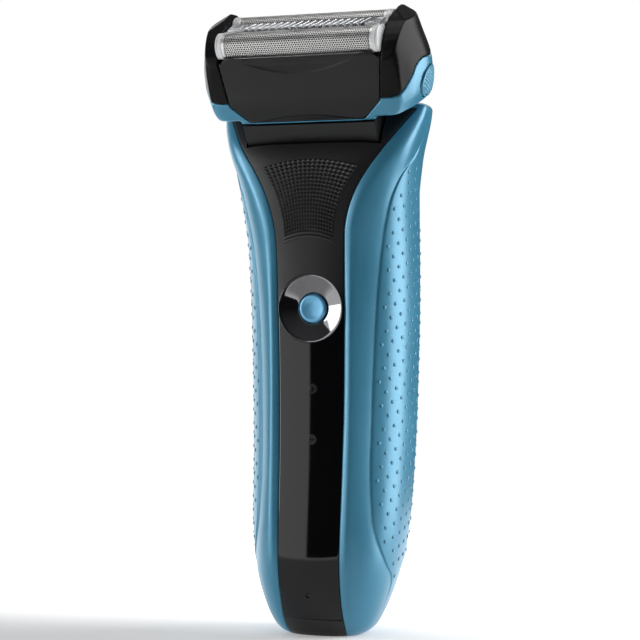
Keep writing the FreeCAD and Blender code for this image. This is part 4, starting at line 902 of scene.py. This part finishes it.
# Thumb rest: fan of small pads in curved rows, two plain ridges below them.
def thumb_rest():
    nr, nc, per = 21, 19, 7
    rows_n, cols_n = nr * per + 1, nc * per + 1
    outer, inner = [], []
    for i in range(rows_n):
        v = i / (rows_n - 1)
        ro, ri = [], []
        X = 7.45 - 2.0 * v + 9.0 * v * v
        for j in range(cols_n):
            u = 2.0 * j / (cols_n - 1) - 1.0
            x = u * X
            z = 109.0 + 21.6 * v + (1.65 + 0.45 * v) * (1 - u * u)
            y = y_front(x, z)
            dx = (y_front(abs(x) + 0.2, z) - y_front(max(0.0, abs(x) - 0.2), z)) / (0.4 if abs(x) > 0.2 else 0.2 + abs(x))
            dz = (y_front(x, z + 0.3) - y_front(x, z - 0.3)) / 0.6
            n = np.array([dx * (1 if x > 0 else -1), -1.0, dz])
            n /= np.linalg.norm(n)
            r = v * nr
            fr = r - math.floor(r)
            ridge = math.sin(math.pi * fr) ** 1.2
            if r < 2.0:
                h = 0.30 * ridge
            else:
                fc = (j / per) % 1.0
                colb = math.sin(math.pi * fc) ** 0.9
                h = 0.52 * ridge * (0.25 + 0.75 * colb)
            border = min(1.0, min(i, rows_n - 1 - i) / 2.0) * min(1.0, min(j, cols_n - 1 - j) / 1.5)
            h = h * border + (border - 1.0) * 0.12 + 0.01
            p = np.array([x, y, z])
            ro.append(p + n * h)
            ri.append(p - n * 0.7)
        outer.append(ro)
        inner.append(ri)
    return grid_shell(np.array(outer), np.array(inner))


v, f = thumb_rest()
pad = new_piece("thumb_rest_pads", v, f, M["pad"], True, 55.0)
finish_piece(pad, "handle", "front")

# Dish, rim, button, indicator marks, charge light.
DC = (0.0, -13.6, 91.2)
dish = lathe("button_dish", [(9.52, -3.35), (9.52, -0.42), (9.3, -0.34), (9.05, -0.36), (8.6, -0.55), (7.4, -1.05), (6.2, -1.52), (5.2, -1.90), (4.6, -2.12), (4.3, -2.30), (4.22, -2.50), (4.2, -3.35)],
             DC, (0, -1, 0), M["dish"], 160, 40.0)
finish_piece(dish, "handle", "dish", "switch_dish")
rim = lathe("dish_trim_ring", [(9.56, -0.32), (9.57, 0.02), (9.50, 0.14), (9.40, 0.19), (9.30, 0.14), (9.24, 0.0), (9.22, -0.32)], DC, (0, -1, 0), M["chrome"], 160, 60.0)
finish_piece(rim, "handle", "chrome", "dish_rim")
btn = lathe("power_button_cap", [(0.0, -1.98), (0.9, -1.97), (1.7, -1.92), (2.3, -1.80), (2.75, -1.66), (3.1, -1.56), (3.4, -1.55), (3.65, -1.63), (3.85, -1.80), (3.96, -2.02), (4.0, -2.3), (4.0, -3.52),
                                 (4.75, -3.6), (4.75, -4.35), (1.2, -4.35), (1.2, -5.15), (0.0, -5.15)], DC, (0, -1, 0), M["button"], 128, 50.0)
finish_piece(btn, "button", "button", "power_button")


def on_front(x, z, lift):
    return (x, y_front(x, z) - lift, z)


def flat_mark(name, outline_pts, x0, z0, lift, thick, material):
    n = len(outline_pts)
    verts = [on_front(x0 + a, z0 + b, lift) for a, b in outline_pts] + [on_front(x0 + a, z0 + b, lift - thick) for a, b in outline_pts]
    faces = [tuple(range(n)), tuple(range(2 * n - 1, n - 1, -1))]
    for k in range(n):
        k2 = (k + 1) % n
        faces.append((k, k2, n + k2, n + k))
    return new_piece(name, verts, faces, material, False)


IX = 0.8
circle = [(1.42 * math.cos(2 * math.pi * k / 48), 1.42 * math.sin(2 * math.pi * k / 48)) for k in range(48)]
a, b = 0.16, 0.78
plus = [(-a, -b), (a, -b), (a, -a), (b, -a), (b, a), (a, a), (a, b), (-a, b), (-a, a), (-b, a), (-b, -a), (-a, -a)]
minus = [(-b, -a), (b, -a), (b, a), (-b, a)]
m1 = flat_mark("level_mark_disc_high", circle, IX, 69.0, 0.02, 0.5, M["window"])
m2 = flat_mark("level_mark_disc_low", circle, IX, 55.0, 0.02, 0.5, M["window"])
m3 = flat_mark("level_mark_plus", plus, IX, 69.0, 0.035, 0.2, M["dish"])
m4 = flat_mark("level_mark_minus", minus, IX, 55.0, 0.035, 0.2, M["dish"])
for k, o in enumerate((m1, m2, m3, m4)):
    finish_piece(o, "handle", "window", *(["level_windows"] if k == 0 else []))
lens = lathe("charge_light", [(0.0, -0.75), (0.25, -0.74), (0.5, -0.62), (0.66, -0.42), (0.72, -0.2), (0.72, -2.2), (0.0, -2.2)], (0.0, -15.55, 12.0), (0, -1, 0), M["window"], 40, 50.0)
finish_piece(lens, "handle", "window", "charge_light_lens")

# ---------------------------------------------------------------------- head
HEAD = Matrix.Translation((0, 0, 150.0)) @ Matrix.Rotation(math.radians(27.0), 4, "X")
HEAD_NP = np.array(HEAD)
HEAD_INV = np.linalg.inv(HEAD_NP)


def hp(x, y, z):
    return tuple(HEAD @ Vector((x, y, z)))


def to_head(co_mm):
    return co_mm @ HEAD_INV[:3, :3].T + HEAD_INV[:3, 3]


def from_head(co):
    return co @ HEAD_NP[:3, :3].T + HEAD_NP[:3, 3]


def coords_of(obj):
    me = obj.data
    co = np.empty(len(me.vertices) * 3, np.float32)
    me.vertices.foreach_get("co", co)
    return co.reshape(-1, 3).astype(float) / MM


def set_coords(obj, co):
    obj.data.vertices.foreach_set("co", (co * MM).astype(np.float32).ravel())
    obj.data.update()


def vertex_normals(obj):
    me = obj.data
    n = np.empty(len(me.vertices) * 3, np.float32)
    me.vertex_normals.foreach_get("vector", n)
    return n.reshape(-1, 3).astype(float)


def moulded(name, node, material, voxel, smooth_n=4, factor=0.5, clip=None):
    """A new moulding on the shape of a design part, with the small edge radii a mould gives."""
    me = NODES[node].data.copy()
    me.name = name
    if clip is not None:
        c = np.empty(len(me.vertices) * 3, np.float32)
        me.vertices.foreach_get("co", c)
        q = to_head(c.reshape(-1, 3).astype(float) / MM)
        q[:, 2] = np.where((q[:, 2] > clip) & (q[:, 1] < -15.9), clip, q[:, 2])
        me.vertices.foreach_set("co", (from_head(q) * MM).astype(np.float32).ravel())
    bm = bmesh.new()
    bm.from_mesh(me)
    bmesh.ops.remove_doubles(bm, verts=bm.verts, dist=2e-6)
    bm.to_mesh(me)
    bm.free()
    o = bpy.data.objects.new(name, me)
    scene.collection.objects.link(o)
    me.materials.clear()
    me.materials.append(material)
    r = o.modifiers.new("remesh", "REMESH")
    r.mode = "VOXEL"
    r.voxel_size = voxel * MM
    r.adaptivity = 0.0
    if smooth_n:
        s = o.modifiers.new("smooth", "SMOOTH")
        s.factor = factor
        s.iterations = smooth_n
    bake(o)
    o.data.materials.clear()
    o.data.materials.append(material)
    shade(o, True, None)
    return o


for tag in ("right", "left"):
    ear = moulded(tag + "_ear_shell", tag + "_ear", M["ear"], 0.24, 6)
    finish_piece(ear, "head", "ear", tag + "_ear")

base = moulded("head_body", "head_base", M["blue_head"], 0.27, 5)
finish_piece(base, "head", "head_blue", "head_base")

cass = moulded("cassette_body", "cassette_frame", M["cass"], 0.25, 4, clip=18.2)
co = to_head(coords_of(cass))
nrm = vertex_normals(cass) @ HEAD_NP[:3, :3]
x, y, z = co[:, 0], co[:, 1], co[:, 2]
face = np.clip((-nrm[:, 1] - 0.55) / 0.3, 0, 1) * (y < -15.9)
arc_hi = 18.2 - 3.5 * np.clip(1 - (x / 16.0) ** 2, 0, None)
d1 = 0.16 * sstep((z - arc_hi) / 0.35) + 0.42 * np.clip((z - arc_hi) / 3.4, 0, 1)
arc_lo = 0.75 + 2.1 * np.clip(1 - (x / 15.5) ** 2, 0, None)
d2 = 0.14 * sstep((arc_lo - z) / 0.35) + 0.30 * np.clip((arc_lo - z) / 2.0, 0, 1)
co[:, 1] += face * (np.where(np.abs(x) < 16.0, d1, 0) + np.where(np.abs(x) < 15.5, d2, 0))
set_coords(cass, from_head(co))
shade(cass, True, None)
finish_piece(cass, "cassette", "cassette", "cassette_frame")


# Thin rim standing up in front of the front foil.
FRONT_Y = smooth_table([(10, -17.7), (14, -17.3), (18, -16.9), (21, -16.6), (24, -16.2)])
FRONT_D = smooth_table([(-23.8, 0.20), (-17, -0.02), (-9, -0.12), (0, -0.15), (9, -0.12), (17, -0.02), (23.8, 0.20)])


def rim_mesh():
    loops = []
    for xx in np.linspace(-22.6, 22.6, 121):
        top = 19.35 + 0.35 * math.exp(-((abs(xx) - 20.3) / 1.9) ** 2) - 0.9 * float(sstep((abs(xx) - 21.4) / 1.2))
        dip = 0.46 * max(0.0, 1 - (xx / 16.0) ** 2) ** 0.5 if abs(xx) < 16 else 0.0

        def yo(z):
            return FRONT_Y(z) + FRONT_D(xx) + 0.05 + dip * 0.7
        yi = max(yo(top) + 0.14, min(yo(top) + 0.36, -16.50))
        loops.append([(xx, yo(17.0) + 0.02, 17.0), (xx, yo(17.8), 17.8), (xx, yo(18.6), 18.6), (xx, yo(top - 0.12), top - 0.12), (xx, yo(top) + 0.05, top),
                      (xx, yi, top - 0.02), (xx, yi + 0.02, top - 0.5), (xx, yi + 0.10, 18.0), (xx, yi + 0.30, 17.0)])
    n = len(loops[0])
    verts = [hp(*p) for lp in loops for p in lp]
    faces = []
    for i in range(len(loops) - 1):
        for j in range(n):
            j2 = (j + 1) % n
            faces.append((i * n + j, i * n + j2, (i + 1) * n + j2, (i + 1) * n + j))
    faces.append(tuple(range(n)))
    faces.append(tuple(range((len(loops) - 1) * n, len(loops) * n)))
    return verts, faces


v, f = rim_mesh()
rim = new_piece("cassette_front_rim", v, f, M["cass"], True, 50.0)
finish_piece(rim, "cassette", "cassette")

for tag, sx in (("right", 1.0), ("left", -1.0)):
    b = moulded(tag + "_release_pad", tag + "_release_button", M["blue_head"], 0.15, 3)
    co = to_head(coords_of(b))
    nrm = vertex_normals(b) @ HEAD_NP[:3, :3]
    yy, zz = co[:, 1] + 4.2, co[:, 2] - 6.4
    inside = np.clip((1.0 - np.sqrt((yy / 5.15) ** 2 + (zz / 4.25) ** 2)) / 0.10 - 0.6, 0, 1)
    out = np.clip((sx * nrm[:, 0] - 0.35) / 0.3, 0, 1)
    k = math.pi / 0.92
    knurl = np.abs(np.sin(k * (yy + zz) / 1.414)) * np.abs(np.sin(k * (yy - zz) / 1.414))
    lift = inside * out * (0.26 * knurl - 0.10)
    co += nrm * lift[:, None]
    set_coords(b, from_head(co))
    shade(b, True, None)
    finish_piece(b, "release_" + tag, "head_blue", tag + "_release_button")


# Foils: thin arched sheet pierced by a hexagonal field of holes.
FR, FH, FZ = 3.7, 21.9, 21.9


def foil_point(fy, xx, t, lift=0.0):
    """t runs round the arch; below zero and above half a turn it tucks in under itself."""
    a, r = t / FR, FR + lift
    return (xx, fy - r * math.cos(a), FZ + r * math.sin(a))


def foil_mesh(fy, lo_f, lo_r):
    a = 0.68
    R = a / math.sqrt(3)
    pitch_t = 1.5 * R
    arc = math.pi * FR
    t0, t1 = -lo_f, arc + lo_r
    n_rows = int((t1 - t0) / pitch_t)
    x_lim = FH - 0.75
    n_cols = int(2 * x_lim / a)
    hr = R * 0.74
    verts, faces = [], []

    def add(px, pt):
        verts.append(foil_point(fy, px, pt))
        return len(verts) - 1
    for i in range(n_rows):
        t = t0 + pitch_t * (i + 0.5) + R * 0.25
        shift = 0.5 * a if i % 2 else 0.0
        for j in range(n_cols):
            cx = -x_lim + a * (j + 0.5) + shift
            if cx > x_lim:
                continue
            o_ids, i_ids = [], []
            for k in range(6):
                g = math.radians(60 * k + 30)
                o_ids.append(add(cx + R * math.cos(g), t + R * math.sin(g)))
                i_ids.append(add(cx + hr * math.cos(g), t + hr * math.sin(g)))
            for k in range(6):
                k2 = (k + 1) % 6
                faces.append((o_ids[k], o_ids[k2], i_ids[k2], i_ids[k]))
    # plain strips at both ends
    steps = 44
    for sgn in (-1, 1):
        xa, xb = (x_lim + a * 0.5 - 0.12) * sgn, FH * sgn
        if sgn < 0:
            xa = (-x_lim + 0.02)
        rowa, rowb = [], []
        for k in range(steps + 1):
            t = t0 + (t1 - t0) * k / steps
            rowa.append(add(xa, t))
            rowb.append(add(xb, t))
        for k in range(steps):
            faces.append((rowa[k], rowb[k], rowb[k + 1], rowa[k + 1]))
    # plain borders that clip into the cassette
    for ta, tb in ((t0 - 0.3, t0 + 0.12), (t1 - 0.25, t1 + 0.3)):
        rows = []
        for t in (ta, tb):
            rows.append([add(-FH + 2 * FH * k / 60, t) for k in range(61)])
        for k in range(60):
            faces.append((rows[0][k], rows[0][k + 1], rows[1][k + 1], rows[1][k]))
    return [hp(*v) for v in verts], faces


for tag, fy, body in (("front", -13.0, "foil_front"), ("rear", 0.2, "foil_rear")):
    v, f = foil_mesh(fy, 3.1, 3.1)
    o = new_piece(tag + "_foil_mesh", v, f, M["foil"], True, 40.0)
    sol = o.modifiers.new("thick", "SOLIDIFY")
    sol.thickness = 0.10 * MM
    sol.offset = -1.0
    bake(o)
    shade(o, True, 40.0)
    finish_piece(o, body, "foil", tag + "_foil")


def end_cap(fy, x_in, x_out):
    """Arched end block of a foil with a shallow step round it."""
    r0 = FR + 0.10
    sgn = 1 if x_out > x_in else -1
    w = abs(x_out - x_in)
    prof = [(0.0, -0.30), (0.02, 0.0), (0.55 * w, 0.0), (0.60 * w, -0.16), (0.72 * w, -0.16), (0.77 * w, -0.02), (0.92 * w, -0.05), (w, -0.28)]
    loops = []
    tuck = math.radians(43.0)
    for dx, dr in prof:
        r = r0 + dr
        loops.append([(x_in + sgn * dx, fy - r * math.cos(a), FZ + r * math.sin(a)) for a in np.linspace(-tuck, math.pi + tuck, 57)])
    n = len(loops[0])
    verts = [hp(*p) for lp in loops for p in lp]
    faces = []
    for i in range(len(loops) - 1):
        for j in range(n):
            j2 = (j + 1) % n
            faces.append((i * n + j, i * n + j2, (i + 1) * n + j2, (i + 1) * n + j))
    faces.append(tuple(range(n)))
    faces.append(tuple(range((len(loops) - 1) * n, len(loops) * n)))
    return verts, faces


for tag, fy, body in (("front", -13.0, "foil_front"), ("rear", 0.2, "foil_rear")):
    for k, (side, xi, xo) in enumerate((("right", FH + 0.02, FH + 1.86), ("left", -FH - 0.02, -FH - 1.86))):
        v, f = end_cap(fy, xi, xo)
        o = new_piece("%s_foil_end_%s" % (tag, side), v, f, M["cap_end"], True, 32.0)
        finish_piece(o, body, "foil_end", *([tag + "_foil_ends"] if k == 0 else []))


# Centre trimmer guard: S-shaped bars on a spine between two flat ends.
def extrude_poly(pts, z0, z1, base_index):
    n = len(pts)
    verts = [hp(p[0], p[1], z0) for p in pts] + [hp(p[0], p[1], z1) for p in pts]
    faces = [tuple(base_index + k for k in range(n - 1, -1, -1)), tuple(base_index + n + k for k in range(n))]
    for k in range(n):
        k2 = (k + 1) % n
        faces.append((base_index + k, base_index + k2, base_index + n + k2, base_index + n + k))
    return verts, faces


def s_bar(cx, cy, half, lean, wide, hook):
    left, right = [], []
    for k in range(13):
        t = -1 + 2 * k / 12.0
        xx = lean * math.sin(0.5 * math.pi * t) + (hook * (abs(t) - 0.8) / 0.2 * (1 if t > 0 else -1) if abs(t) > 0.8 else 0.0)
        ww = wide * (1.0 if abs(t) < 0.8 else 0.80)
        left.append((cx + xx - ww / 2, cy + half * t))
        right.append((cx + xx + ww / 2, cy + half * t))
    return left + right[::-1]


def guard_mesh():
    verts, faces = [], []

    def add(pts, z0, z1):
        v, f = extrude_poly(pts, z0, z1, len(verts))
        verts.extend(v)
        faces.extend(f)
    cy = -6.4
    for k in range(18):
        cx = -17.0 + 2.0 * k
        add(s_bar(cx, cy, 2.28, 0.78, 0.86, 0.30), 24.05, 25.25)
    add([(-18.2, cy - 0.42), (18.2, cy - 0.42), (18.2, cy + 0.42), (-18.2, cy + 0.42)], 24.02, 24.35)
    for s in (1, -1):
        c = 0.35
        a, b = sorted((17.75 * s, 22.6 * s))
        add([(a, cy - 2.3 + c), (a + c, cy - 2.3), (b - c, cy - 2.3), (b, cy - 2.3 + c), (b, cy + 2.3 - c), (b - c, cy + 2.3), (a + c, cy + 2.3), (a, cy + 2.3 - c)], 24.0, 25.2)
        a, b = sorted((18.9 * s, 21.9 * s))
        add([(a, cy - 1.5), (b, cy - 1.5), (b, cy + 1.5), (a, cy + 1.5)], 25.15, 25.36)
        a, b = sorted((22.0 * s, 23.6 * s))
        add([(a, cy - 2.2), (b, cy - 2.2), (b, cy + 2.2), (a, cy + 2.2)], 18.24, 24.5)
    return verts, faces


v, f = guard_mesh()
guard = new_piece("centre_guard_bars", v, f, M["blade"], False)
bev = guard.modifiers.new("edge", "BEVEL")
bev.width = 0.09 * MM
bev.segments = 2
bev.limit_method = "ANGLE"
bake(guard)
shade(guard, True, 40.0)
finish_piece(guard, "cassette", "blade", "centre_guard")


# Release springs: wire coils behind the two pads, built at rest length; they ride with the head and do not squeeze.
def coil(sx):
    x0, x1, rc, rw = 25.12, 29.68, 1.30, 0.19
    path = []
    turns = 6.0
    for k in range(int(turns * 24) + 1):
        u = k / (turns * 24)
        a = 2 * math.pi * turns * u
        ends = sstep(np.array([u / 0.16, (1 - u) / 0.16]))
        e = rw + (x1 - x0 - 2 * rw) * (0.5 + (u - 0.5) * (0.72 + 0.28 * float(ends.min()))) if 0.0 < u < 1.0 else (rw if u == 0 else x1 - x0 - rw)
        path.append(np.array([sx * (x0 + e), -4.2 + rc * math.cos(a), 6.3 + rc * math.sin(a)]))
    verts, faces = [], []
    m = 8
    for i, c in enumerate(path):
        t = path[min(i + 1, len(path) - 1)] - path[max(i - 1, 0)]
        t /= np.linalg.norm(t)
        a = np.cross(t, (1.0, 0.0, 0.0))
        a /= np.linalg.norm(a)
        b = np.cross(t, a)
        for j in range(m):
            g = 2 * math.pi * j / m
            verts.append(hp(*(c + rw * (a * math.cos(g) + b * math.sin(g)))))
    for i in range(len(path) - 1):
        for j in range(m):
            j2 = (j + 1) % m
            faces.append((i * m + j, i * m + j2, (i + 1) * m + j2, (i + 1) * m + j))
    faces.append(tuple(range(m)))
    faces.append(tuple(range((len(path) - 1) * m, len(path) * m)))
    return verts, faces


for tag, sx in (("right", 1.0), ("left", -1.0)):
    v, f = coil(sx)
    o = new_piece(tag + "_release_coil", v, f, M["steel"], True, 50.0)
    finish_piece(o, "head", "steel", *(["release_springs"] if sx > 0 else []))
    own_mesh(o)

# --------------------------------------------------------------------- stage
def floor_material():
    """Matt pale floor; its outer part glows evenly so that it meets the backdrop without an edge."""
    m, nt, p = _tree("pale_floor")
    v = coords(nt)
    n = noise(nt, v, 14.0, 3.0)
    nt.links.new(mixcol(nt, remap(nt, n, 0.0, 1.0), (0.80, 0.80, 0.80), (0.84, 0.84, 0.84)), p.inputs["Base Color"])
    p.inputs["Roughness"].default_value = 0.9
    p.inputs["Specular IOR Level"].default_value = 0.1
    p.inputs["Emission Color"].default_value = (1, 1, 1, 1)
    sep = nt.nodes.new("ShaderNodeSeparateXYZ")
    nt.links.new(v, sep.inputs[0])
    r = nt.nodes.new("ShaderNodeMapRange")
    r.interpolation_type = "SMOOTHSTEP"
    r.inputs["From Min"].default_value = -0.05
    r.inputs["From Max"].default_value = 0.085
    r.inputs["To Min"].default_value = FLOOR_NEAR
    r.inputs["To Max"].default_value = FLOOR_FAR
    nt.links.new(sep.outputs["Y"], r.inputs["Value"])
    d = nt.nodes.new("ShaderNodeVectorMath")
    d.operation = "LENGTH"
    nt.links.new(v, d.inputs[0])
    q = nt.nodes.new("ShaderNodeMapRange")
    q.interpolation_type = "SMOOTHSTEP"
    q.inputs["From Min"].default_value = 0.18
    q.inputs["From Max"].default_value = 0.29
    q.inputs["To Min"].default_value = FLOOR_NEAR
    q.inputs["To Max"].default_value = FLOOR_FAR
    nt.links.new(d.outputs["Value"], q.inputs["Value"])
    mx = nt.nodes.new("ShaderNodeMath")
    mx.operation = "MAXIMUM"
    nt.links.new(r.outputs["Result"], mx.inputs[0])
    nt.links.new(q.outputs["Result"], mx.inputs[1])
    nt.links.new(mx.outputs[0], p.inputs["Emission Strength"])
    return m


FLOOR_NEAR, FLOOR_FAR = 0.0, 1.0
ring = []
for k in range(160):
    a = 2 * math.pi * k / 160
    ring.append((300.0 * math.cos(a), 300.0 * math.sin(a), 0.0))
floor = new_piece("floor", ring, [tuple(range(160))], floor_material(), False)
